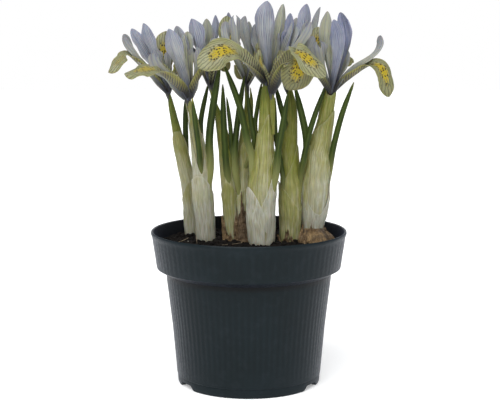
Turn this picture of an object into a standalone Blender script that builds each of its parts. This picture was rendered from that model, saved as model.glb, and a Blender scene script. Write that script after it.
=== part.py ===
# Potted dwarf iris: a round nursery pot with soil, seven clumped plants,
# sixteen narrow leaves and eight flowers. The origin is the middle of the
# pot's underside, and the front of the clump faces -Y.
import math
import random

import bpy
from mathutils import Matrix, Vector

MM = 0.001
GAP = 0.3

# Pot, in millimetres
POT_HEIGHT = 86.3
RIM_RADIUS = 55.0
LIP_THICKNESS = 1.5
COLLAR_FOOT_RADIUS = 51.9
COLLAR_FOOT_Z = 66.8
BODY_TOP_RADIUS = 46.7
BODY_TOP_Z = 62.0
BODY_FOOT_RADIUS = 40.0
STEP_Z = 5.0
FOOT_RADIUS = 39.2
WALL = 1.4
FLOOR_TOP_Z = 4.6
FLOOR_UNDER_Z = 3.0
FOOT_INNER_RADIUS = 36.5
PAD_RADIUS = 14.0
POT_STEPS = 36
NOTCH_ANGLES = (-30.0, 90.0, 210.0)
NOTCH_WIDTH = 16.0
NOTCH_HEIGHT = 2.6
NOTCH_OVERRUN = 3.0
DRAIN_CIRCLE = 25.0
DRAIN_RADIUS = 4.5
DRAIN_COUNT = 4
DRAIN_STEPS = 12
CUT_OVERRUN = 1.0

# Soil
SOIL_TOP_Z = 79.5
SOIL_EDGE_Z = 78.6
SOIL_ROLL = 0.7
SOIL_SLANT = 0.012
SOIL_FLAT_SHARES = (0.78, 0.42)
SOCKET_GAP = 0.39

# Sheaths: plant letter to stations of x, y, z and half width
SHOOT_DEPTH_RATIO = 0.74
SHOOT_SIDES = 10
SHOOTS = {
    "a": (
        (-33.4, 25, 74, 3.4), (-33.6, 25, 84, 3.7), (-33.9, 24, 97, 3.9),
        (-35.6, 21, 112, 4.0), (-38.9, 18, 129.5, 3.8), (-41.1, 15, 141, 2.8),
        (-43.4, 12, 153, 2.0), (-44.6, 10, 162.3, 1.4),
    ),
    "b": (
        (-24.2, 5, 74, 3.8), (-24.6, 5, 84, 4.7), (-25.8, 3, 103, 5.1),
        (-26.8, 1, 120, 4.7), (-28.0, -1, 131.5, 3.9), (-29.8, -3, 143, 2.9),
        (-31.1, -4, 151.5, 1.9), (-32.8, -5, 158.5, 1.4),
    ),
    "c": (
        (-9.4, 5, 74, 2.4), (-10.0, 5, 86, 3.3), (-10.6, 5, 100, 3.7),
        (-11.4, 5, 114, 4.1), (-12.4, 4, 126, 3.9), (-14.4, 3, 139.5, 2.8),
        (-16.6, 2, 150, 1.8), (-19.1, 1, 158, 1.4), (-20.9, 0, 165.8, 1.3),
    ),
    "d": (
        (-3.4, 4, 99.6, 2.9), (-3.5, 5, 114, 3.3), (-2.9, 7, 128, 3.5),
        (-1.9, 9, 139, 3.4), (-0.5, 10, 150, 2.8), (-0.1, 11, 158.5, 2.2),
        (-0.7, 12, 166.2, 1.4),
    ),
    "e": (
        (7.4, -8, 74, 5.0), (7.1, -8, 86, 6.8), (6.9, -8, 98, 7.2),
        (7.3, -8, 112, 7.4), (8.0, -7.5, 122, 6.1), (8.7, -7, 133, 4.8),
        (9.0, -6, 143, 4.0), (9.1, -5, 152, 3.4), (9.5, -4, 161, 2.2),
        (9.5, -4, 166.6, 1.4),
    ),
    "e_side": (
        (13.3, -8.6, 146, 0.7), (12.9, -8.4, 153, 1.3), (12.8, -8, 162.0, 1.3),
    ),
    "f": (
        (22.6, 0, 74, 4.2), (23.2, 0, 88, 5.4), (23.1, 0, 103, 6.1),
        (23.0, 1, 117, 5.8), (22.5, 2, 131, 4.8), (23.0, 3, 142.5, 4.2),
        (23.6, 4, 152, 3.3), (23.0, 6, 159, 2.3), (21.6, 8.6, 164.6, 1.4),
    ),
    "g": (
        (36.3, 3, 87.6, 5.0), (36.8, 3, 94.5, 6.6), (37.3, 2, 104, 7.1),
        (37.7, 1, 114, 7.2), (38.6, 0, 128.5, 6.8), (40.2, -1, 139, 5.6),
        (42.3, -2, 147, 4.6), (43.6, -3.4, 154.5, 3.6), (45.5, -5, 162.2, 1.4),
    ),
}

# Bulbs that show above the soil: stations of x, y, z and half width
BULB_SIDES = 12
BULBS = {
    "d": (
        (-2.8, 2, 72, 3.2), (-2.8, 2, 78, 4.6), (-3.0, 2.5, 84, 4.5),
        (-3.2, 3, 92, 3.7), (-3.4, 4, 99.2, 2.8),
    ),
    "g": (
        (38.0, -0.6, 69, 5.0), (38.4, -0.8, 74, 8.8), (38.5, -0.8, 79.5, 10.2),
        (37.8, 0.2, 83.5, 9.0), (36.5, 1.8, 87.2, 5.6),
    ),
}
BULB_DEPTH_RATIO = {"d": 0.9, "g": 0.92}

# Leaves: width and route points x, y, z from the foot to the tip
LEAF_THICKNESS = 1.5
LEAF_SEGMENTS = 6
LEAF_SHARES = ((0, 0.85), (0.3, 1.0), (0.75, 0.9), (1, 0.3))
LEAVES = {
    "a_right": (3.3, ((-36.0, 22.6, 129), (-36.3, 21.5, 147), (-35.4, 20.5, 163))),
    "b_front": (
        3.4,
        ((-26.9, -4.7, 118), (-27.6, -5.6, 132), (-29.4, -7.2, 147), (-31.0, -9.0, 161)),
    ),
    "b_back": (3.0, ((-26.6, 2.6, 137), (-26.6, 3.4, 149), (-22.6, 5.0, 168))),
    "b_right": (
        4.2,
        ((-21.6, -1.2, 122), (-21.9, -2.4, 138), (-19.9, -4.2, 155), (-15.8, -6.0, 178.5)),
    ),
    "c_front": (
        3.7,
        ((-11.3, 0.6, 110), (-12.9, 0.0, 126), (-13.9, -0.8, 146), (-14.4, -1.4, 168)),
    ),
    "c_right": (2.6, ((-9.8, 0.2, 127), (-10.1, 0.5, 142), (-12.3, 1.0, 161))),
    "d_left": (
        3.5,
        ((-7.4, 0.5, 120), (-7.6, 1.6, 134), (-5.6, 4.2, 152), (-2.4, 6.2, 172.5)),
    ),
    "e_left_long": (
        3.8,
        ((1.7, -9.5, 128), (-0.9, -9.5, 138), (-5.2, -8.5, 157), (-13.4, -7.5, 179)),
    ),
    "d_front": (3.2, ((3.0, -4.4, 135), (1.6, -2.5, 146), (-0.9, 2.2, 163.5))),
    "e_left_back": (2.6, ((3.6, -1.6, 144), (4.6, -0.4, 154), (7.2, 1.6, 169))),
    "f_left": (
        2.8,
        ((20.0, -5.0, 108), (17.5, -4.6, 126), (14.9, -2.8, 140), (14.5, -2.4, 161)),
    ),
    "f_cross": (3.2, ((20.8, -1.8, 143), (17.6, -0.4, 156), (14.6, 2.0, 168))),
    "e_right": (
        3.6,
        ((14.9, -12.0, 119), (16.4, -11.0, 134), (19.1, -9.0, 149), (21.6, -7.0, 164)),
    ),
    "g_left": (4.0, ((32.4, -4.6, 128), (31.3, -3.8, 142), (25.4, -1.0, 167.5))),
    "f_right": (
        3.3,
        ((27.8, -4.6, 96), (30.3, -7.0, 126), (34.6, -7.4, 146), (42.6, -7.5, 169)),
    ),
    "g_right": (
        3.4,
        ((45.0, -4.2, 119), (46.9, -5.6, 134), (51.4, -6.2, 152), (57.6, -7.0, 169.5)),
    ),
}

# Flowers. base is the top of the sheath, tilt the lean per millimetre of height.
# fall: azimuth, reach and rise of the bend, azimuth, length and drop of the
# blade, width, roll. standard: azimuth, reach, rise, width. style: azimuth,
# reach, rise, crest reach, crest rise, width.
FLOWERS = (
    dict(
        base=(-44.6, 10, 162.6), tilt=(-0.40, 0.0),
        falls=(
            (182, 14, 23, 182, 15, 11, 10, 20),
            (38, 13, 28, 38, 3, -9, 10, 0),
            (346, 8, 19, 346, 3, 6, 7, 0),
        ),
        standards=((130, 8.5, 37, 8), (282, 6, 39.7, 9), (30, 3, 36, 7)),
        styles=((182, 5.5, 26, 2, 8, 5), (60, 5, 24, 1, 7, 5), (346, 2.5, 25, 1, 7, 5)),
    ),
    dict(
        base=(-32.8, -5, 158.8), tilt=(-0.22, 0.0),
        falls=(
            (188, 17, 20, 186, 16, 4.5, 12, 0),
            (336, 12, 19, 336, 6, 6, 10, 0),
            (84, 14, 20, 84, 8, 8, 11, 0),
        ),
        standards=((258, 6.5, 41.5, 13.5), (62, 5, 42.5, 9), (128, 3, 40, 9)),
        styles=((188, 12, 22, 2, 7, 8), (350, 5, 31, 2, 8, 7), (90, 9, 26, 1, 7, 7)),
    ),
    dict(
        base=(-20.9, 0, 166.1), tilt=(-0.08, 0.03),
        falls=(
            (150, 9, 17, 150, 3, 6, 8, 0),
            (300, 6.5, 20, 300, 2, -8, 6, 0),
            (60, 12, 20, 60, 8, 8, 11, 0),
        ),
        standards=((215, 9.5, 38.5, 10.5), (110, 4, 39, 9), (350, 6, 40.3, 6.5)),
        styles=((150, 7, 24, 1, 8, 6), (300, 1, 24, 1, 6, 5), (60, 8, 26, 1, 7, 6)),
    ),
    dict(
        base=(-0.7, 12, 166.5), tilt=(0.0, 0.04),
        falls=(
            (190, 10, 27, 190, 2, -9, 10, 0),
            (350, 8, 20, 350, 3, 3, 8, 0),
            (90, 14, 20, 90, 8, 10, 12, 0),
        ),
        standards=((250, 2.5, 39.4, 5), (300, 3, 36.3, 5), (120, 5, 38, 9)),
        styles=((190, 5, 24, 1, 7, 6), (15, 5, 26, 1, 7, 6), (80, 7, 26, 1, 7, 6)),
    ),
    dict(
        base=(9.5, -4, 166.9), tilt=(0.03, 0.06),
        falls=(
            (205, 20.5, 20.9, 200, 23, 10, 17, 55),
            (20, 13, 19, 20, 6, 6, 8, 0),
            (95, 8, 21, 95, 3, 7, 8, 0),
        ),
        standards=((250, 3, 46.4, 11.8), (350, 8.7, 44, 7), (155, 4, 42, 9)),
        styles=((205, 20, 27, -1, 15, 9), (20, 6, 27, 2, 8, 6), (95, 2.5, 27, 1, 7, 6)),
    ),
    dict(
        base=(12.8, -8, 162.3), tilt=(0.12, -0.10),
        falls=(
            (302, 14.5, 24, 285, 6, 20, 17.5, 0),
            (55, 6, 19, 55, 1, -9, 5, 0),
            (195, 6.5, 22, 195, 0.5, -9, 6, 0),
        ),
        standards=((0, 4.6, 44, 6.5), (250, 3, 39, 8), (140, 2, 40, 6)),
        styles=((318, 14, 31, 4, 8, 7), (55, 1.5, 22, 0.5, 6, 3), (195, 1, 23, 0.5, 6, 3)),
    ),
    dict(
        base=(45.5, -5, 162.5), tilt=(0.03, 0.0),
        falls=(
            (0, 23.3, 20, 350, 8.5, 21, 10, 15),
            (233, 25.5, 24, 320, 17, 14, 16, 20),
            (100, 14, 20, 100, 8, 10, 12, 0),
        ),
        standards=((165, 4, 45, 7), (285, 4, 43, 10), (50, 6.5, 45, 9)),
        styles=((5, 23, 23, 4, 11, 7), (230, 13, 28, 1, 7, 6), (100, 8, 26, 1, 7, 6)),
    ),
    dict(
        base=(21.4, 9, 165.0), tilt=(0.25, 0.10),
        falls=(
            (310, 12, 31, 305, 3, 11, 8, 10),
            (160, 12, 20, 160, 7, 8, 10, 0),
            (75, 14, 20, 75, 8, 10, 12, 0),
        ),
        standards=((235, 5, 48, 9.5), (10, 6, 46, 7), (110, 4, 45, 9)),
        styles=((310, 5, 27, 1, 7, 5), (160, 6, 27, 1, 7, 6), (75, 8, 26, 1, 7, 6)),
    ),
)
FALL_LETTERS = "abc"
PETAL_THICKNESS = 0.9
TUBE_RADII = ((0.0, 1.25), (3.0, 1.5), (6.5, 2.2))
TUBE_SIDES = 6
FALL_START_RADIUS = 3.3
PETAL_INSET = 0.5
STANDARD_START = 0.4
STYLE_START = 0.7

# Widths along each kind of petal, as shares of its greatest width. A fold
# lifts the edges by that share of the half width.
HAFT_WIDTH = 6.4
HAFT_SHARES = ((0, 0.35), (0.2, 0.62), (0.42, 1.0), (0.55, 0.8), (0.68, 0.0), (1, 0.0))
BLADE_SHARES = ((0, 0.0), (0.5, 0.0), (0.72, 0.96), (0.88, 0.86), (1, 0.3))
BLADE_TURN = ((0, 0), (0.5, 0), (0.75, 1), (1, 1))
FALL_FOLDS = ((0, 0.6), (0.4, 0.6), (0.6, 0.1), (1, -0.1))
STANDARD_SHARES = ((0, 0.18), (0.25, 0.34), (0.5, 0.8), (0.68, 1.0), (0.86, 0.8), (1, 0.3))
STANDARD_FOLD = 0.15
STYLE_SHARES = ((0, 0.25), (0.3, 0.45), (0.6, 0.75), (0.8, 1.0), (0.92, 0.7), (1, 0.3))
STYLE_FOLD = -0.2

# Colour, roughness and metallic value of each material
FINISHES = {
    "plastic": ((0.026, 0.036, 0.042), 0.45, 0.0),
    "soil": ((0.012, 0.009, 0.007), 0.95, 0.0),
    "sheath": ((0.42, 0.43, 0.24), 0.5, 0.0),
    "tunic": ((0.32, 0.19, 0.10), 0.8, 0.0),
    "leaf": ((0.07, 0.15, 0.035), 0.45, 0.0),
    "petal": ((0.45, 0.50, 0.68), 0.5, 0.0),
    "fall": ((0.62, 0.60, 0.28), 0.5, 0.0),
}


def clear_scene():
    for old in list(bpy.data.objects):
        bpy.data.objects.remove(old, do_unlink=True)


def material_for(name):
    found = bpy.data.materials.get(name)
    if found:
        return found
    colour, roughness, metallic = FINISHES[name]
    made = bpy.data.materials.new(name)
    made.use_nodes = True
    shader = made.node_tree.nodes["Principled BSDF"]
    shader.inputs["Base Color"].default_value = (*colour, 1.0)
    shader.inputs["Roughness"].default_value = roughness
    shader.inputs["Metallic"].default_value = metallic
    return made


def add_object(name, points, faces, finish, smooth_angle=40.0):
    """Points are in millimetres."""
    mesh = bpy.data.meshes.new(name)
    mesh.from_pydata([Vector(p) * MM for p in points], [], faces)
    mesh.shade_smooth()
    mesh.set_sharp_from_angle(angle=math.radians(smooth_angle))
    mesh.materials.append(material_for(finish))
    made = bpy.data.objects.new(name, mesh)
    bpy.context.scene.collection.objects.link(made)
    return made


def loft(rings, close_start=True, close_end=True):
    """Faces that join rings of equal length, wound to face outwards when a
    ring runs anticlockwise about the direction from the first ring on."""
    count = len(rings[0])
    points = [p for ring in rings for p in ring]
    faces = []
    for row in range(len(rings) - 1):
        low = row * count
        high = low + count
        for i in range(count):
            j = (i + 1) % count
            faces.append((low + i, low + j, high + j, high + i))
    if close_start:
        faces.append(tuple(reversed(range(count))))
    if close_end:
        last = (len(rings) - 1) * count
        faces.append(tuple(range(last, last + count)))
    return points, faces


def ellipse(centre, half_width, half_depth, sides):
    x, y, z = centre
    turns = [2 * math.pi * i / sides for i in range(sides)]
    return [(x + half_width * math.cos(t), y + half_depth * math.sin(t), z) for t in turns]


def stacked(stations, depth_ratio, sides, grow=0.0):
    rings = []
    for x, y, z, half in stations:
        rings.append(ellipse((x, y, z), half + grow, half * depth_ratio + grow, sides))
    return loft(rings)


def turned(profile, steps):
    """A closed ring of profile points radius, z turned about the Z axis."""
    rings = []
    for radius, z in profile:
        turns = [2 * math.pi * (i + 0.5) / steps for i in range(steps)]
        rings.append([(radius * math.cos(t), radius * math.sin(t), z) for t in turns])
    return loft(rings)


def smooth_route(route, segments):
    """Points of a Catmull-Rom curve through the route's points."""
    nodes = [Vector(p) for p in route]
    nodes = [2 * nodes[0] - nodes[1]] + nodes + [2 * nodes[-1] - nodes[-2]]
    spans = len(nodes) - 3
    points = []
    for step in range(segments + 1):
        place = step / segments * spans
        k = min(int(place), spans - 1)
        t = place - k
        p0, p1, p2, p3 = nodes[k : k + 4]
        bend = 2 * p0 - 5 * p1 + 4 * p2 - p3
        points.append(
            0.5 * (2 * p1 + (p2 - p0) * t + bend * t * t + (3 * p1 - p0 - 3 * p2 + p3) * t**3)
        )
    return points


def bezier(p0, p1, p2, p3, count, skip_first=False):
    points = []
    for step in range(1 if skip_first else 0, count + 1):
        t = step / count
        s = 1 - t
        points.append(s**3 * p0 + 3 * s * s * t * p1 + 3 * s * t * t * p2 + t**3 * p3)
    return points


def heading(azimuth):
    turn = math.radians(azimuth)
    return Vector((math.cos(turn), math.sin(turn), 0))


def blend(profile, t):
    """Value at t of a line through (t, value) pairs."""
    for (t0, v0), (t1, v1) in zip(profile, profile[1:]):
        if t <= t1:
            return v0 + (v1 - v0) * (t - t0) / (t1 - t0)
    return profile[-1][1]


def ribbon(spine, sides, widths, thickness, folds):
    """A thin closed strip with a four-cornered section and a pointed tip."""
    rings = []
    for i, point in enumerate(spine[:-1]):
        ahead = spine[i + 1]
        behind = spine[max(i - 1, 0)]
        along = (ahead - behind).normalized()
        side = (sides[i] - sides[i].dot(along) * along).normalized()
        upper = along.cross(side)
        half = widths[i] / 2
        edge = folds[i] * half * upper
        thick = thickness / 2 * upper
        rings.append(
            [point - half * side + edge, point - thick, point + half * side + edge, point + thick]
        )
    points, faces = loft(rings, close_end=False)
    tip = len(points)
    last = tip - 4
    points.append(spine[-1])
    for i in range(4):
        faces.append((last + i, last + (i + 1) % 4, tip))
    return points, faces


def leaned(points, flower):
    base = Vector(flower["base"])
    lean = Vector((*flower["tilt"], 0))
    return [base + p + lean * p.z for p in points]


def widths_along(count, profile, width):
    return [width * blend(profile, i / (count - 1)) for i in range(count)]


def fall_strip(flower, azimuth, reach, rise, blade_azimuth, out, drop, width, roll):
    way = heading(azimuth)
    blade_way = heading(blade_azimuth)
    up = Vector((0, 0, 1))
    bend = reach * way + rise * up
    tip = bend + out * blade_way - drop * up
    length = math.hypot(out, drop)
    if drop < 0:
        inner = bend - 0.06 * reach * way - 0.3 * rise * up
    else:
        inner = bend - 0.4 * reach * way - 0.16 * rise * up
    haft = bezier(Vector((0, 0, 0)), 0.2 * reach * way + 0.3 * rise * up, inner, bend, 5)
    blade = bezier(
        bend,
        bend + 0.32 * length * (bend - inner).normalized(),
        bend + 0.85 * out * blade_way - 0.45 * drop * up,
        tip,
        4,
        skip_first=True,
    )
    spine = haft + blade
    while spine[1].xy.length < FALL_START_RADIUS and len(spine) > 7:
        spine.pop(0)
    start = spine[1].xy.length
    first = spine[0].xy.length
    if first < FALL_START_RADIUS:
        part = (FALL_START_RADIUS - first) / max(start - first, 0.01)
        spine[0] = spine[0].lerp(spine[1], min(part, 0.9))
    sides = []
    for i in range(len(spine)):
        share = blend(BLADE_TURN, i / (len(spine) - 1))
        level = (way.lerp(blade_way, share)).cross(-up).normalized()
        turn = Matrix.Rotation(math.radians(roll) * share, 3, blade_way)
        sides.append(turn @ level)
    hafts = widths_along(len(spine), HAFT_SHARES, HAFT_WIDTH)
    blades = widths_along(len(spine), BLADE_SHARES, width)
    widths = [max(pair) for pair in zip(hafts, blades)]
    folds = widths_along(len(spine), FALL_FOLDS, 1.0)
    return ribbon(leaned(spine, flower), sides, widths, PETAL_THICKNESS, folds)


def standard_strip(flower, azimuth, reach, rise, width):
    way = heading(azimuth)
    tip = reach * way + Vector((0, 0, rise))
    swell = (0.06 * rise) * way
    start = PETAL_INSET * way + Vector((0, 0, STANDARD_START))
    spine = bezier(start, 0.3 * tip + swell, 0.72 * tip + swell, tip, 5)
    sides = [way.cross(Vector((0, 0, -1)))] * len(spine)
    widths = widths_along(len(spine), STANDARD_SHARES, width)
    folds = [STANDARD_FOLD] * len(spine)
    return ribbon(leaned(spine, flower), sides, widths, PETAL_THICKNESS, folds)


def style_strip(flower, azimuth, reach, rise, crest_out, crest_up, width):
    way = heading(azimuth)
    up = Vector((0, 0, 1))
    shoulder = reach * way + rise * up
    tip = shoulder + crest_out * way + crest_up * up
    inner = shoulder - 0.4 * reach * way - 0.22 * rise * up
    start = PETAL_INSET * way + STYLE_START * up
    arm = bezier(start, 0.04 * reach * way + 0.5 * rise * up, inner, shoulder, 4)
    crest = bezier(
        shoulder,
        shoulder + 0.3 * crest_up * (shoulder - inner).normalized(),
        tip - 0.45 * crest_up * up,
        tip,
        2,
        skip_first=True,
    )
    spine = arm + crest
    sides = [way.cross(-up)] * len(spine)
    widths = widths_along(len(spine), STYLE_SHARES, width)
    folds = [STYLE_FOLD] * len(spine)
    return ribbon(leaned(spine, flower), sides, widths, PETAL_THICKNESS, folds)


def join_solids(name, shapes, finish):
    """One closed mesh from several that overlap."""
    base = add_object(name, *shapes[0], finish)
    helpers = []
    for i, shape in enumerate(shapes[1:]):
        helper = add_object(f"{name}_helper_{i}", *shape, finish)
        helpers.append(helper)
        union = base.modifiers.new("join", "BOOLEAN")
        union.operation = "UNION"
        union.solver = "EXACT"
        union.object = helper
    bpy.context.view_layer.update()
    graph = bpy.context.evaluated_depsgraph_get()
    joined = bpy.data.meshes.new_from_object(base.evaluated_get(graph))
    base.modifiers.clear()
    base.data = joined
    for helper in helpers:
        bpy.data.objects.remove(helper, do_unlink=True)
    return base


def add_crown(number, flower):
    lean = Vector((*flower["tilt"], 0))
    tube_rings = []
    for height, radius in TUBE_RADII:
        centre = Vector(flower["base"]) + Vector((0, 0, height)) + lean * height
        tube_rings.append(ellipse(centre, radius, radius, TUBE_SIDES))
    shapes = [loft(tube_rings)]
    shapes += [standard_strip(flower, *values) for values in flower["standards"]]
    shapes += [style_strip(flower, *values) for values in flower["styles"]]
    join_solids(f"flower_{number}_crown", shapes, "petal")


def add_flowers():
    for number, flower in enumerate(FLOWERS, start=1):
        add_crown(number, flower)
        for letter, values in zip(FALL_LETTERS, flower["falls"]):
            strip = fall_strip(flower, *values)
            add_object(f"flower_{number}_fall_{letter}", *strip, "fall")


def add_leaves():
    for name, (width, route) in LEAVES.items():
        spine = smooth_route(route, LEAF_SEGMENTS)
        sides = [Vector((1, 0, 0))] * len(spine)
        widths = widths_along(len(spine), LEAF_SHARES, width)
        strip = ribbon(spine, sides, widths, LEAF_THICKNESS, [0.0] * len(spine))
        add_object(f"leaf_{name}", *strip, "leaf")


def add_shoots():
    for name, stations in SHOOTS.items():
        shape = stacked(stations, SHOOT_DEPTH_RATIO, SHOOT_SIDES)
        add_object(f"shoot_{name}", *shape, "sheath")
    for name, stations in BULBS.items():
        shape = stacked(stations, BULB_DEPTH_RATIO[name], BULB_SIDES)
        add_object(f"bulb_{name}", *shape, "tunic")


def cutter(name, shape):
    made = add_object(name, *shape, "tunic")
    made.hide_render = True
    made.display_type = "WIRE"
    return made


def cut(target, tool):
    step = target.modifiers.new(tool.name, "BOOLEAN")
    step.operation = "DIFFERENCE"
    step.solver = "EXACT"
    step.object = tool


def pot_profile():
    outer = [
        (FOOT_RADIUS, 0.0),
        (FOOT_RADIUS + 0.3, STEP_Z - 0.4),
        (BODY_FOOT_RADIUS, STEP_Z),
        (BODY_TOP_RADIUS, BODY_TOP_Z),
        (COLLAR_FOOT_RADIUS, COLLAR_FOOT_Z),
        (RIM_RADIUS - 0.5, POT_HEIGHT - 2.2),
        (RIM_RADIUS, POT_HEIGHT - 1.2),
        (RIM_RADIUS - 0.5, POT_HEIGHT),
    ]
    inner = [
        (RIM_RADIUS - LIP_THICKNESS, POT_HEIGHT - 0.4),
        (COLLAR_FOOT_RADIUS - WALL, COLLAR_FOOT_Z + 0.6),
        (BODY_TOP_RADIUS - WALL, BODY_TOP_Z + 1.0),
        (BODY_FOOT_RADIUS - WALL, FLOOR_TOP_Z),
    ]
    return outer, inner


def add_pot():
    outer, inner = pot_profile()
    under = [
        (PAD_RADIUS, 0.0),
        (PAD_RADIUS, FLOOR_UNDER_Z),
        (FOOT_INNER_RADIUS, FLOOR_UNDER_Z),
        (FOOT_INNER_RADIUS, 0.0),
    ]
    pot = add_object("pot", *turned(under + outer + inner, POT_STEPS), "plastic", 30)
    for i, angle in enumerate(NOTCH_ANGLES):
        way = heading(angle)
        side = Vector((-way.y, way.x, 0)) * NOTCH_WIDTH / 2
        near = way * (FOOT_INNER_RADIUS - NOTCH_OVERRUN)
        far = way * (FOOT_RADIUS + NOTCH_OVERRUN)
        ring = [near - side, far - side, far + side, near + side]
        low = [p - Vector((0, 0, CUT_OVERRUN)) for p in ring]
        high = [p + Vector((0, 0, NOTCH_HEIGHT)) for p in ring]
        cut(pot, cutter(f"notch_{i}", loft([low, high])))
    for i in range(DRAIN_COUNT):
        way = heading(45 + 360 * i / DRAIN_COUNT) * DRAIN_CIRCLE
        rings = []
        for z in (FLOOR_UNDER_Z - CUT_OVERRUN, FLOOR_TOP_Z + CUT_OVERRUN):
            rings.append(ellipse((way.x, way.y, z), DRAIN_RADIUS, DRAIN_RADIUS, DRAIN_STEPS))
        cut(pot, cutter(f"drain_{i}", loft(rings)))


def add_soil():
    chance = random.Random(4)
    _, inner = pot_profile()
    (rim_r, rim_z), (collar_r, collar_z), (body_r, body_z), (floor_r, floor_z) = inner
    slope = (rim_r - collar_r) / (rim_z - collar_z)
    edge_r = collar_r + slope * (SOIL_EDGE_Z - collar_z) - GAP
    profile = [
        (floor_r - GAP, floor_z + GAP),
        (body_r - GAP, body_z + GAP / 2),
        (collar_r - GAP - 0.2, collar_z),
        (edge_r, SOIL_EDGE_Z),
    ]
    profile += [(share * edge_r, SOIL_TOP_Z) for share in SOIL_FLAT_SHARES]
    points, faces = turned(profile, POT_STEPS)
    rough = []
    for x, y, z in points:
        if z == SOIL_TOP_Z:
            z += chance.uniform(-SOIL_ROLL, SOIL_ROLL) + SOIL_SLANT * (y - x)
        rough.append((x, y, z))
    soil = add_object("soil", rough, faces, "soil")
    for kind, table in (("shoot", SHOOTS), ("bulb", BULBS)):
        for name, stations in table.items():
            if stations[0][2] > SOIL_TOP_Z:
                continue
            depth_ratio = BULB_DEPTH_RATIO[name] if kind == "bulb" else SHOOT_DEPTH_RATIO
            sides = BULB_SIDES if kind == "bulb" else SHOOT_SIDES
            x, y, z, half = stations[0]
            below = (x, y, z - GAP, half)
            shape = stacked((below, *stations[1:4]), depth_ratio, sides, grow=SOCKET_GAP)
            cut(soil, cutter(f"socket_{kind}_{name}", shape))


def main():
    clear_scene()
    add_pot()
    add_soil()
    add_shoots()
    add_leaves()
    add_flowers()


main()
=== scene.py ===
import math
import random

import bpy
import numpy as np
from mathutils import Matrix, Vector, noise


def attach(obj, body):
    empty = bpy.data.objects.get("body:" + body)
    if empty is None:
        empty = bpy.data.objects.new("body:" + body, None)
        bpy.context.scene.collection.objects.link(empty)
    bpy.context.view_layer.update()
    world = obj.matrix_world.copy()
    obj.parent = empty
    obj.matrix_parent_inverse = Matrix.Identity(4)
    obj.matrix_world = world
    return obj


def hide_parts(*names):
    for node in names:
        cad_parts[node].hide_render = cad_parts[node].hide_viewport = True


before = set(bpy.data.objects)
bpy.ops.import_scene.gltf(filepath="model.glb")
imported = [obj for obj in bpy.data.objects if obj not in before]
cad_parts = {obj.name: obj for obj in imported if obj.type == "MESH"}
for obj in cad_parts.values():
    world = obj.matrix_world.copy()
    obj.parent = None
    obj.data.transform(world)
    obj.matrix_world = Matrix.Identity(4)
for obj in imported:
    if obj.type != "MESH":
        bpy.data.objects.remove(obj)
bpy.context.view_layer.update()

mm = 0.001
upward = Vector((0, 0, 1))
scene = bpy.context.scene
print("frame loaded with", len(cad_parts), "solids")


# Small sums

def ease(value, low, high):
    t = min(max((value - low) / (high - low), 0.0), 1.0)
    return t * t * (3 - 2 * t)


def profileAt(pairs, t):
    # smooth curve through (place, value) pairs
    k = 0
    while k < len(pairs) - 2 and t > pairs[k + 1][0]:
        k += 1
    (t0, v0), (t1, v1) = pairs[k], pairs[k + 1]
    before, after = pairs[max(k - 1, 0)], pairs[min(k + 2, len(pairs) - 1)]
    span = t1 - t0
    s = min(max((t - t0) / span, 0.0), 1.0)
    m0 = (v1 - before[1]) / (t1 - before[0]) * span
    m1 = (after[1] - v0) / (after[0] - t0) * span
    rest = 2 * s**3 - 3 * s**2
    return (rest + 1) * v0 + (s**3 - 2 * s**2 + s) * m0 - rest * v1 + (s**3 - s**2) * m1


def heading(azimuth):
    turn = math.radians(azimuth)
    return Vector((math.cos(turn), math.sin(turn), 0))


def throughPoints(route, count):
    # Catmull-Rom curve through the route's points
    nodes = [Vector(p) for p in route]
    nodes = [2 * nodes[0] - nodes[1]] + nodes + [2 * nodes[-1] - nodes[-2]]
    spans = len(nodes) - 3
    found = []
    for step in range(count + 1):
        place = step / count * spans
        k = min(int(place), spans - 1)
        t = place - k
        a, b, c, d = nodes[k : k + 4]
        bend = (2 * a - 5 * b + 4 * c - d) * t * t
        found.append(0.5 * (2 * b + (c - a) * t + bend + (3 * b - a - 3 * c + d) * t**3))
    return found


def evenRoute(points, count):
    # the same route at equal steps, and its length
    lengths = [0.0]
    for a, b in zip(points, points[1:]):
        lengths.append(lengths[-1] + (b - a).length)
    spaced, k = [], 0
    for i in range(count + 1):
        goal = lengths[-1] * i / count
        while k < len(points) - 2 and lengths[k + 1] < goal:
            k += 1
        part = (goal - lengths[k]) / max(lengths[k + 1] - lengths[k], 1e-9)
        spaced.append(points[k].lerp(points[k + 1], min(part, 1.0)))
    return spaced, lengths[-1]


def lumps(place, seed, octaves=2):
    return noise.fractal(Vector(place) + Vector((seed * 7.3, seed * 3.1, seed * 5.7)), 1.0, 2.0, octaves)


# Meshes

def finishMesh(name, points, faces, shareMap, sizeMap, looks, looksOf, blends, sharp):
    mesh = bpy.data.meshes.new(name)
    mesh.from_pydata((np.asarray(points) * mm).tolist(), [], faces)
    for title, cornerMap in (("shareMap", shareMap), ("sizeMap", sizeMap)):
        layer = mesh.uv_layers.new(name=title)
        layer.data.foreach_set("uv", np.asarray(cornerMap, np.float32).ravel())
    for title, values in blends.items():
        layer = mesh.attributes.new(title, "FLOAT", "POINT")
        layer.data.foreach_set("value", np.asarray(values, np.float32).ravel())
    for look in looks:
        mesh.materials.append(look)
    mesh.polygons.foreach_set("material_index", looksOf)
    mesh.shade_smooth()
    mesh.set_sharp_from_angle(angle=math.radians(sharp))
    made = bpy.data.objects.new(name, mesh)
    scene.collection.objects.link(made)
    return made


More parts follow.
